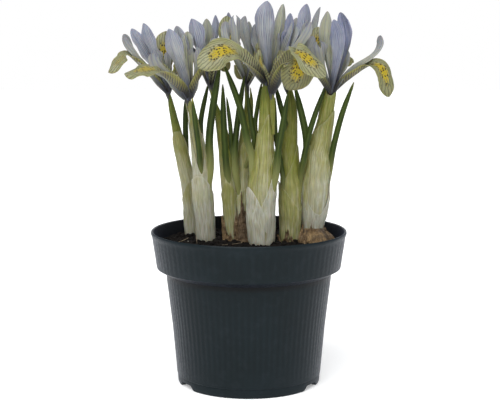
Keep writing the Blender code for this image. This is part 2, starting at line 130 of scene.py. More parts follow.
def sheetPiece(name, grid, shares, sizes, thickness, looks, blends=None, sharp=60):
    # a thin leaf with a front, a back and a rim. grid is rows x columns of places
    P = np.array(grid, float)
    rows, cols = P.shape[:2]
    normal = np.cross(np.gradient(P, axis=0), np.gradient(P, axis=1))
    normal /= np.maximum(np.linalg.norm(normal, axis=2, keepdims=True), 1e-9)
    lift = np.broadcast_to(np.asarray(thickness, float) / 2, (rows, cols))[..., None] * normal
    points = np.concatenate([(P + lift).reshape(-1, 3), (P - lift).reshape(-1, 3)])
    index = np.arange(rows * cols).reshape(rows, cols)
    a, b, c, d = index[:-1, :-1], index[1:, :-1], index[1:, 1:], index[:-1, 1:]
    front = np.stack([a, b, c, d], -1).reshape(-1, 4)
    back = np.stack([d, c, b, a], -1).reshape(-1, 4) + rows * cols
    far = rows * cols
    rim = []
    for line, flip in ((index[:, 0], False), (index[:, -1], True), (index[0], True), (index[-1], False)):
        quads = np.stack([line[:-1], line[:-1] + far, line[1:] + far, line[1:]], -1)
        rim.append(quads[:, ::-1] if flip else quads)
    faces = np.concatenate([front, back, *rim])
    corner = faces.ravel() % far
    looksOf = np.ones(len(faces), np.int32) * (len(looks) - 1)
    looksOf[: len(front)] = 0
    doubled = {k: np.concatenate([np.asarray(v).ravel()] * 2) for k, v in (blends or {}).items()}
    shares = np.asarray(shares, float).reshape(-1, 2)[corner]
    sizes = np.asarray(sizes, float).reshape(-1, 2)[corner]
    return finishMesh(name, points, faces.tolist(), shares, sizes, looks, looksOf, doubled, sharp)


def loftPiece(name, rings, looks, blends=None, sharp=60, closeStart=True, closeEnd=True, ringClosed=False):
    # rings of equal length run anticlockwise about the way from the first to the last
    P = np.array(rings, float)
    rows, cols = P.shape[:2]
    steps = np.linalg.norm(np.diff(P, axis=0), axis=2).mean(axis=1)
    travel = np.concatenate([[0.0], np.cumsum(steps)])
    girth = np.linalg.norm(P - np.roll(P, 1, axis=1), axis=2).sum(axis=1).max()
    faces, shares, sizes = [], [], []
    lastRow = rows if ringClosed else rows - 1
    for r in range(lastRow):
        nextRow = (r + 1) % rows
        v0, v1 = r / (rows - 1), (r + 1) / (rows - 1)
        y0 = travel[r]
        y1 = travel[r + 1] if r + 1 < rows else y0
        for c in range(cols):
            n = (c + 1) % cols
            faces.append((r * cols + c, r * cols + n, nextRow * cols + n, nextRow * cols + c))
            u0, u1 = c / cols, (c + 1) / cols
            shares += [(u0, v0), (u1, v0), (u1, v1), (u0, v1)]
            sizes += [(u0 * girth, y0), (u1 * girth, y0), (u1 * girth, y1), (u0 * girth, y1)]
    ends = []
    if closeStart and not ringClosed:
        ends.append((tuple(reversed(range(cols))), 0.0, 0.0))
    if closeEnd and not ringClosed:
        ends.append((tuple(range((rows - 1) * cols, rows * cols)), 1.0, travel[-1]))
    for face, v, y in ends:
        faces.append(face)
        shares += [((k % cols) / cols, v) for k in face]
        sizes += [((k % cols) / cols * girth, y) for k in face]
    looksOf = np.zeros(len(faces), np.int32)
    return finishMesh(name, P.reshape(-1, 3), faces, shares, sizes, looks, looksOf, blends or {}, sharp)


def settle(piece, slotName, *nodes):
    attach(piece, "root")
    if nodes:
        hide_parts(*nodes)
    return piece


# Shader helpers

def paint(red, green, blue):
    # a colour as it should look lit, 0 to 255, made darker for the bright studio
    parts = [c / 255 for c in (red, green, blue)]
    return tuple(0.8 * (p / 12.92 if p <= 0.04045 else ((p + 0.055) / 1.055) ** 2.4) for p in parts) + (1.0,)


def addNode(tree, kind, wires=None, **settings):
    node = tree.nodes.new(kind)
    for key, value in settings.items():
        setattr(node, key, value)
    for key, value in (wires or {}).items():
        socket = node.inputs[key]
        if isinstance(value, bpy.types.NodeSocket):
            tree.links.new(value, socket)
        else:
            socket.default_value = value
    return node


def calc(tree, operation, a, b=0.0, c=0.0):
    node = addNode(tree, "ShaderNodeMath", {0: a, 1: b}, operation=operation)
    if operation in ("MULTIPLY_ADD", "SMOOTH_MIN", "SMOOTH_MAX"):
        if isinstance(c, bpy.types.NodeSocket):
            tree.links.new(c, node.inputs[2])
        else:
            node.inputs[2].default_value = c
    return node.outputs[0]


def span(tree, value, low, high, toLow=0.0, toHigh=1.0):
    wires = {"Value": value, "From Min": low, "From Max": high, "To Min": toLow, "To Max": toHigh}
    node = addNode(tree, "ShaderNodeMapRange", wires, interpolation_type="SMOOTHSTEP")
    return node.outputs[0]


def mixed(tree, factor, a, b, blend="MIX"):
    node = addNode(tree, "ShaderNodeMix", {0: factor, 6: a, 7: b}, data_type="RGBA", blend_type=blend)
    return node.outputs[2]


def ramp(tree, factor, stops):
    node = addNode(tree, "ShaderNodeValToRGB", {0: factor})
    points = node.color_ramp.elements
    for place, colour in stops[1:-1]:
        points.new(place)
    for point, (place, colour) in zip(points, stops):
        point.position = place
        point.color = colour
    return node.outputs[0]


def mapParts(tree, title):
    uv = addNode(tree, "ShaderNodeUVMap", uv_map=title)
    parts = addNode(tree, "ShaderNodeSeparateXYZ", {0: uv.outputs[0]})
    return uv.outputs[0], parts.outputs[0], parts.outputs[1]


def tintOf(tree, title):
    return addNode(tree, "ShaderNodeAttribute", attribute_name=title).outputs["Fac"]


def newGroup(name, inputs, outputs):
    tree = bpy.data.node_groups.new(name, "ShaderNodeTree")
    for title, value in inputs:
        socket = tree.interface.new_socket(title, in_out="INPUT", socket_type="NodeSocketFloat")
        socket.default_value = value
    for title in outputs:
        tree.interface.new_socket(title, in_out="OUTPUT", socket_type="NodeSocketFloat")
    start = tree.nodes.new("NodeGroupInput")
    end = tree.nodes.new("NodeGroupOutput")
    return tree, start.outputs, end.inputs


def useGroup(tree, group, **values):
    node = tree.nodes.new("ShaderNodeGroup")
    node.node_tree = group
    for key, value in values.items():
        node.inputs[key].default_value = value
    return node.outputs


def newLook(name, roughness, **values):
    look = bpy.data.materials.new(name)
    look.use_nodes = True
    tree = look.node_tree
    shader = tree.nodes["Principled BSDF"]
    shader.inputs["Roughness"].default_value = roughness
    for key, value in values.items():
        shader.inputs[key].default_value = value
    return look, tree, shader


def relief(tree, shader, height, distance, strength=1.0):
    wires = {"Height": height, "Distance": distance * mm, "Strength": strength}
    bump = addNode(tree, "ShaderNodeBump", wires)
    tree.links.new(bump.outputs[0], shader.inputs["Normal"])


# Shared effects

def makeFibres():
    # fine streaks that run the length of a leaf, petal or sheath
    tree, given, out = newGroup("lengthFibres", (("Finer", 2.0), ("Stretch", 14.0), ("Wander", 0.4)), ("Fibres",))
    uv, x, y = mapParts(tree, "sizeMap")
    drift = addNode(tree, "ShaderNodeTexNoise", {"Vector": uv, "Scale": 0.12, "Detail": 1.0})
    sway = calc(tree, "MULTIPLY", calc(tree, "SUBTRACT", drift.outputs[0], 0.5), given["Wander"])
    across = calc(tree, "MULTIPLY", calc(tree, "ADD", x, sway), given["Finer"])
    length = calc(tree, "DIVIDE", calc(tree, "MULTIPLY", y, given["Finer"]), given["Stretch"])
    place = addNode(tree, "ShaderNodeCombineXYZ", {0: across, 1: length})
    grain = addNode(tree, "ShaderNodeTexNoise", {"Vector": place.outputs[0], "Scale": 1.0, "Detail": 3.0, "Roughness": 0.6})
    tree.links.new(span(tree, grain.outputs[0], 0.3, 0.7), out["Fibres"])
    return tree


def makeVeins():
    # lengthwise petal veins that fan with the petal's width
    tree, given, out = newGroup("petalVeins", (("Count", 9.0), ("Wander", 0.06), ("Width", 0.35)), ("Veins",))
    uv, x, y = mapParts(tree, "shareMap")
    drift = addNode(tree, "ShaderNodeTexNoise", {"Vector": uv, "Scale": 5.0, "Detail": 2.0})
    sway = calc(tree, "MULTIPLY", calc(tree, "SUBTRACT", drift.outputs[0], 0.5), given["Wander"])
    turn = calc(tree, "MULTIPLY", calc(tree, "ADD", x, sway), calc(tree, "MULTIPLY", given["Count"], 6.2832))
    wave = calc(tree, "MULTIPLY_ADD", calc(tree, "COSINE", turn), 0.5, 0.5)
    tree.links.new(span(tree, wave, calc(tree, "SUBTRACT", 1.0, given["Width"]), 1.0), out["Veins"])
    return tree


def makeMottle():
    # soft patches through the whole object
    tree, given, out = newGroup("mottle", (("Size", 8.0), ("Detail", 3.0)), ("Patches",))
    spot = addNode(tree, "ShaderNodeTexCoord")
    scale = calc(tree, "DIVIDE", 1000.0, given["Size"])
    cloud = addNode(tree, "ShaderNodeTexNoise", {"Vector": spot.outputs["Object"], "Scale": scale, "Detail": given["Detail"]})
    tree.links.new(span(tree, cloud.outputs[0], 0.3, 0.7), out["Patches"])
    return tree


def makeCreases():
    # sharp folds of dry skin, longer along the shoot than across it
    tree, given, out = newGroup("creases", (("Size", 3.0), ("Stretch", 3.0)), ("Creases",))
    uv, x, y = mapParts(tree, "sizeMap")
    across = calc(tree, "DIVIDE", x, given["Size"])
    length = calc(tree, "DIVIDE", y, calc(tree, "MULTIPLY", given["Size"], given["Stretch"]))
    place = addNode(tree, "ShaderNodeCombineXYZ", {0: across, 1: length})
    cloud = addNode(tree, "ShaderNodeTexNoise", {"Vector": place.outputs[0], "Scale": 1.0, "Detail": 3.0, "Distortion": 0.6})
    bent = calc(tree, "ABSOLUTE", calc(tree, "MULTIPLY_ADD", cloud.outputs[0], 2.0, -1.0))
    tree.links.new(calc(tree, "SUBTRACT", 1.0, span(tree, bent, 0.0, 0.3)), out["Creases"])
    return tree


def makeFallLines():
    # veins that spread over a fall's blade from its throat, and stripes across its haft
    inputs = (("Fan", 92.0), ("Throat", 6.0), ("Stripe", 3.8), ("Slant", 0.8))
    tree, given, out = newGroup("fallLines", inputs, ("Lines", "Blade", "Angle", "Reach"))
    uv, x, y = mapParts(tree, "sizeMap")
    drift = addNode(tree, "ShaderNodeTexNoise", {"Vector": uv, "Scale": 0.35, "Detail": 2.0})
    sway = calc(tree, "SUBTRACT", drift.outputs[0], 0.5)
    beyond = calc(tree, "ADD", y, given["Throat"])
    angle = calc(tree, "MULTIPLY_ADD", calc(tree, "ARCTAN2", x, beyond), given["Fan"], calc(tree, "MULTIPLY", sway, 7.0))
    slant = calc(tree, "SUBTRACT", y, calc(tree, "MULTIPLY", calc(tree, "ABSOLUTE", x), given["Slant"]))
    cross = calc(tree, "MULTIPLY_ADD", slant, given["Stripe"], calc(tree, "MULTIPLY", sway, 5.0))
    blade = span(tree, y, -3.0, 1.5)
    fanned = calc(tree, "MULTIPLY", span(tree, calc(tree, "SINE", angle), 0.1, 1.0), blade)
    striped = calc(tree, "MULTIPLY", span(tree, calc(tree, "SINE", cross), -0.1, 0.85), calc(tree, "SUBTRACT", 1.0, blade))
    reach = calc(tree, "SQRT", calc(tree, "ADD", calc(tree, "POWER", x, 2.0), calc(tree, "POWER", beyond, 2.0)))
    tree.links.new(calc(tree, "ADD", fanned, striped), out["Lines"])
    tree.links.new(blade, out["Blade"])
    tree.links.new(calc(tree, "DIVIDE", angle, 6.2832), out["Angle"])
    tree.links.new(reach, out["Reach"])
    return tree


fibres = makeFibres()
veins = makeVeins()
mottle = makeMottle()
creases = makeCreases()
fallLines = makeFallLines()


# Petal finishes

standardLook = {
    "ramp": ((0.0, (18, 18, 23)), (0.09, (30, 31, 38)), (0.2, (70, 73, 81)), (0.4, (130, 133, 138)),
             (0.7, (166, 169, 174)), (1.0, (148, 153, 178))),
    "green": (190, 191, 142), "blue": (122, 130, 174), "vein": (78, 82, 116), "veinShare": 0.75,
}


def makeStandardLook():
    look, tree, shader = newLook("standardPetal", 0.5)
    shader.inputs["Subsurface Weight"].default_value = 0.12
    shader.inputs["Subsurface Scale"].default_value = 0.6 * mm
    shader.inputs["Specular IOR Level"].default_value = 0.3
    uv, x, y = mapParts(tree, "shareMap")
    body = ramp(tree, y, [(place, paint(*c)) for place, c in standardLook["ramp"]])
    patches = useGroup(tree, mottle, Size=9.0)["Patches"]
    rising = span(tree, y, 0.15, 0.5)
    green = calc(tree, "MULTIPLY", calc(tree, "MAXIMUM", tintOf(tree, "tint"), 0.0), rising)
    body = mixed(tree, green, body, paint(*standardLook["green"]))
    blue = calc(tree, "MAXIMUM", calc(tree, "MULTIPLY", tintOf(tree, "tint"), -1.0), 0.0)
    body = mixed(tree, calc(tree, "MULTIPLY", blue, rising), body, paint(*standardLook["blue"]))
    # the margins are bluer than the middle
    margin = calc(tree, "ABSOLUTE", calc(tree, "MULTIPLY_ADD", x, 2.0, -1.0))
    edge = calc(tree, "MULTIPLY", span(tree, margin, 0.45, 1.0), span(tree, y, 0.35, 0.8))
    body = mixed(tree, calc(tree, "MULTIPLY", edge, 0.45), body, paint(138, 144, 186))
    streaks = useGroup(tree, fibres, Finer=2.4, Stretch=16.0, Wander=0.8)["Fibres"]
    body = mixed(tree, calc(tree, "MULTIPLY", streaks, span(tree, y, 0.1, 0.5, 0.2, 0.55)), body, paint(188, 190, 186))
    lines = useGroup(tree, veins, Count=11.0, Wander=0.09, Width=0.5)["Veins"]
    strength = calc(tree, "MULTIPLY", lines, calc(tree, "MULTIPLY_ADD", patches, standardLook["veinShare"], 0.12))
    body = mixed(tree, strength, body, paint(*standardLook["vein"]))
    midrib = calc(tree, "SUBTRACT", 1.0, span(tree, margin, 0.0, 0.14))
    body = mixed(tree, calc(tree, "MULTIPLY", midrib, 0.4), body, paint(106, 114, 136))
    flush = calc(tree, "MULTIPLY", span(tree, margin, 0.5, 0.95), span(tree, calc(tree, "ABSOLUTE", calc(tree, "SUBTRACT", y, 0.42)), 0.05, 0.28, 0.5, 0.0))
    body = mixed(tree, flush, body, paint(168, 168, 108))
    tree.links.new(body, shader.inputs["Base Color"])
    relief(tree, shader, calc(tree, "ADD", lines, streaks), 0.22, 0.6)
    return look


def makeStyleLook():
    look, tree, shader = newLook("stylePetal", 0.5)
    shader.inputs["Subsurface Weight"].default_value = 0.12
    shader.inputs["Subsurface Scale"].default_value = 0.6 * mm
    shader.inputs["Specular IOR Level"].default_value = 0.3
    uv, x, y = mapParts(tree, "shareMap")
    stops = ((0.0, (20, 20, 26)), (0.12, (44, 46, 52)), (0.32, (112, 114, 106)), (0.62, (158, 159, 142)), (1.0, (148, 150, 152)))
    body = ramp(tree, y, [(place, paint(*c)) for place, c in stops])
    margin = calc(tree, "ABSOLUTE", calc(tree, "MULTIPLY_ADD", x, 2.0, -1.0))
    body = mixed(tree, calc(tree, "MULTIPLY", span(tree, margin, 0.6, 1.0), 0.5), body, paint(182, 184, 170))
    lines = useGroup(tree, veins, Count=5.0, Wander=0.05, Width=0.4)["Veins"]
    crest = calc(tree, "MULTIPLY", lines, span(tree, y, 0.55, 0.95, 0.15, 0.55))
    body = mixed(tree, crest, body, paint(104, 106, 146))
    streaks = useGroup(tree, fibres, Finer=2.6, Stretch=14.0, Wander=0.6)["Fibres"]
    body = mixed(tree, calc(tree, "MULTIPLY", streaks, 0.25), body, paint(120, 124, 122))
    tree.links.new(body, shader.inputs["Base Color"])
    relief(tree, shader, calc(tree, "ADD", lines, streaks), 0.1, 0.5)
    return look


def makeFallLook(name, inside):
    look, tree, shader = newLook(name, 0.5)
    shader.inputs["Subsurface Weight"].default_value = 0.12
    shader.inputs["Subsurface Scale"].default_value = 0.6 * mm
    shader.inputs["Specular IOR Level"].default_value = 0.3
    shareUv, sx, sy = mapParts(tree, "shareMap")
    uv, x, y = mapParts(tree, "sizeMap")
    pattern = useGroup(tree, fallLines)
    lines, blade = pattern["Lines"], pattern["Blade"]
    margin = calc(tree, "ABSOLUTE", calc(tree, "MULTIPLY_ADD", sx, 2.0, -1.0))
    patches = useGroup(tree, mottle, Size=7.0)["Patches"]
    haft = calc(tree, "SUBTRACT", 1.0, blade)
    if inside:
        body = mixed(tree, patches, paint(148, 148, 108), paint(168, 168, 134))
        body = mixed(tree, calc(tree, "MULTIPLY", span(tree, margin, 0.45, 0.95), 0.5), body, paint(150, 150, 84))
        # darker olive: partly the blade's own tone, partly painted shade on blades that lie in shade
        body = mixed(tree, tintOf(tree, "olive"), body, paint(108, 104, 50))
        dark = calc(tree, "MULTIPLY", lines, span(tree, blade, 0.0, 1.0, 0.85, 0.66))
        body = mixed(tree, dark, body, mixed(tree, blade, paint(58, 52, 56), paint(84, 84, 66)))
        # bright signal near the throat, its edge broken by noise and the veins
        cloud = addNode(tree, "ShaderNodeTexNoise", {"Vector": uv, "Scale": 0.7, "Detail": 3.0})
        ragged = calc(tree, "MULTIPLY", calc(tree, "SUBTRACT", cloud.outputs[0], 0.5), 2.0)
        ragged = calc(tree, "ADD", ragged, calc(tree, "MULTIPLY", lines, 0.45))
        ovalX = calc(tree, "POWER", calc(tree, "DIVIDE", margin, 0.46), 2.0)
        along = calc(tree, "DIVIDE", calc(tree, "SUBTRACT", tintOf(tree, "blade"), 0.36), 0.34)
        away = calc(tree, "ADD", calc(tree, "ADD", ovalX, calc(tree, "POWER", calc(tree, "ABSOLUTE", along), 2.0)), ragged)
        signal = calc(tree, "MULTIPLY", calc(tree, "SUBTRACT", 1.0, span(tree, away, 0.1, 1.5)), tintOf(tree, "tint"))
        body = mixed(tree, calc(tree, "MULTIPLY", signal, 0.95), body, paint(192, 168, 2))
        # dark spots in rows between the veins
        place = addNode(tree, "ShaderNodeCombineXYZ", {0: pattern["Angle"], 1: calc(tree, "MULTIPLY", pattern["Reach"], 0.62)})
        wires = {"Vector": place.outputs[0], "Scale": 0.95, "Randomness": 0.95}
        cells = addNode(tree, "ShaderNodeTexVoronoi", wires, voronoi_dimensions="2D")
        dots = calc(tree, "SUBTRACT", 1.0, span(tree, cells.outputs["Distance"], 0.24, 0.44))
        pick = span(tree, addNode(tree, "ShaderNodeSeparateColor", {0: cells.outputs["Color"]}).outputs[0], 0.38, 0.44)
        zone = calc(tree, "MULTIPLY", span(tree, away, 2.0, 1.0), span(tree, y, -6.0, -2.0))
        dots = calc(tree, "MULTIPLY", calc(tree, "MULTIPLY", dots, pick), calc(tree, "MULTIPLY", zone, tintOf(tree, "tint")))
        body = mixed(tree, calc(tree, "MULTIPLY", dots, 0.92), body, paint(46, 34, 18))
    else:
        body = mixed(tree, patches, paint(134, 130, 66), paint(154, 150, 92))
        body = mixed(tree, span(tree, blade, 0.0, 1.0, 0.0, 0.5), body, paint(158, 156, 104))
        body = mixed(tree, calc(tree, "MULTIPLY", lines, span(tree, blade, 0.0, 1.0, 0.9, 0.4)), body, paint(60, 54, 54))
        olive = calc(tree, "MULTIPLY", haft, span(tree, margin, 0.5, 0.95, 0.0, 0.75))
        body = mixed(tree, olive, body, paint(150, 148, 76))
        violet = calc(tree, "MULTIPLY", haft, span(tree, margin, 0.2, 0.7, 0.4, 0.0))
        body = mixed(tree, violet, body, paint(104, 104, 112))
    body = mixed(tree, calc(tree, "MULTIPLY", span(tree, margin, 0.88, 1.0), 0.4), body, paint(172, 172, 136))
    root = calc(tree, "SUBTRACT", 1.0, span(tree, sy, 0.05, 0.34))
    body = mixed(tree, calc(tree, "MULTIPLY", root, 0.96), body, paint(28, 27, 34))
    tree.links.new(body, shader.inputs["Base Color"])
    streaks = useGroup(tree, fibres, Finer=2.4, Stretch=10.0, Wander=0.6)["Fibres"]
    relief(tree, shader, calc(tree, "ADD", lines, streaks), 0.2, 0.6)
    return look


standardSkin = makeStandardLook()
styleSkin = makeStyleLook()
fallInside = makeFallLook("fallInside", True)
fallOutside = makeFallLook("fallOutside", False)
print("petal finishes ready")


# Shoots, each a line of x, y, z and half width

shoots = {
    "a": ((-33.4, 25, 74, 3.4), (-33.6, 25, 84, 3.7), (-33.9, 24, 97, 3.9), (-35.6, 21, 112, 4.0),
          (-38.9, 18, 129.5, 3.8), (-41.1, 15, 141, 2.9), (-43.4, 12, 153, 2.1), (-44.6, 10, 162.3, 1.7)),
    "b": ((-24.2, 5, 74, 3.8), (-24.6, 5, 84, 4.7), (-25.8, 3, 103, 5.1), (-26.8, 1, 120, 4.8),
          (-28.0, -1, 131.5, 4.0), (-29.8, -3, 143, 3.2), (-31.1, -4, 151.5, 2.6), (-32.8, -5, 158.5, 2.1)),
    "c": ((-9.4, 5, 74, 2.4), (-10.0, 5, 86, 3.3), (-10.6, 5, 100, 3.9), (-11.4, 5, 114, 4.5),
          (-12.4, 4, 126, 4.3), (-14.4, 3, 139.5, 3.4), (-16.6, 2, 150, 2.4), (-19.1, 1, 158, 1.9), (-20.9, 0, 165.8, 1.6)),
    "d": ((-3.2, 3.4, 80, 2.6), (-3.4, 4, 99.6, 3.0), (-3.5, 5, 114, 3.6), (-2.9, 7, 128, 3.8), (-1.9, 9, 139, 3.6),
          (-0.5, 10, 150, 3.0), (-0.1, 11, 158.5, 2.5), (-0.7, 12, 166.2, 2.0)),
    "e": ((7.4, -8, 74, 5.2), (7.1, -8, 86, 6.9), (6.9, -8, 98, 7.2), (7.3, -8, 112, 7.4), (8.0, -7.5, 122, 6.3),
          (8.7, -7, 133, 5.0), (9.2, -6, 143, 4.3), (9.4, -5, 152, 4.0), (9.6, -4, 161, 3.4), (9.6, -4, 168, 2.4)),
    "eSide": ((13.4, -8.6, 140, 0.7), (13.3, -8.6, 146, 0.9), (12.9, -8.4, 153, 1.3), (12.8, -8, 163, 1.4)),
    "f": ((22.6, 0, 74, 4.4), (23.2, 0, 88, 5.5), (23.1, 0, 103, 6.1), (23.0, 1, 117, 5.8), (22.5, 2, 131, 5.0),
          (23.0, 3, 142.5, 4.4), (23.6, 4, 152, 3.6), (23.3, 6, 159, 3.0), (22.8, 8, 166, 2.2)),
    "g": ((36.2, 3, 80, 4.8), (36.3, 3, 87.6, 5.2), (36.8, 3, 94.5, 6.6), (37.3, 2, 104, 7.1), (37.7, 1, 114, 7.2),
          (38.6, 0, 128.5, 6.8), (40.2, -1, 139, 5.7), (42.0, -2, 147, 4.8), (43.0, -3.4, 154.5, 4.3), (44.3, -5, 162.2, 3.8), (45.2, -5, 168, 3.0)),
}


def shootAt(shoot, z):
    stations = shoots[shoot]
    return [profileAt([(s[2], s[k]) for s in stations], z) for k in (0, 1, 3)]


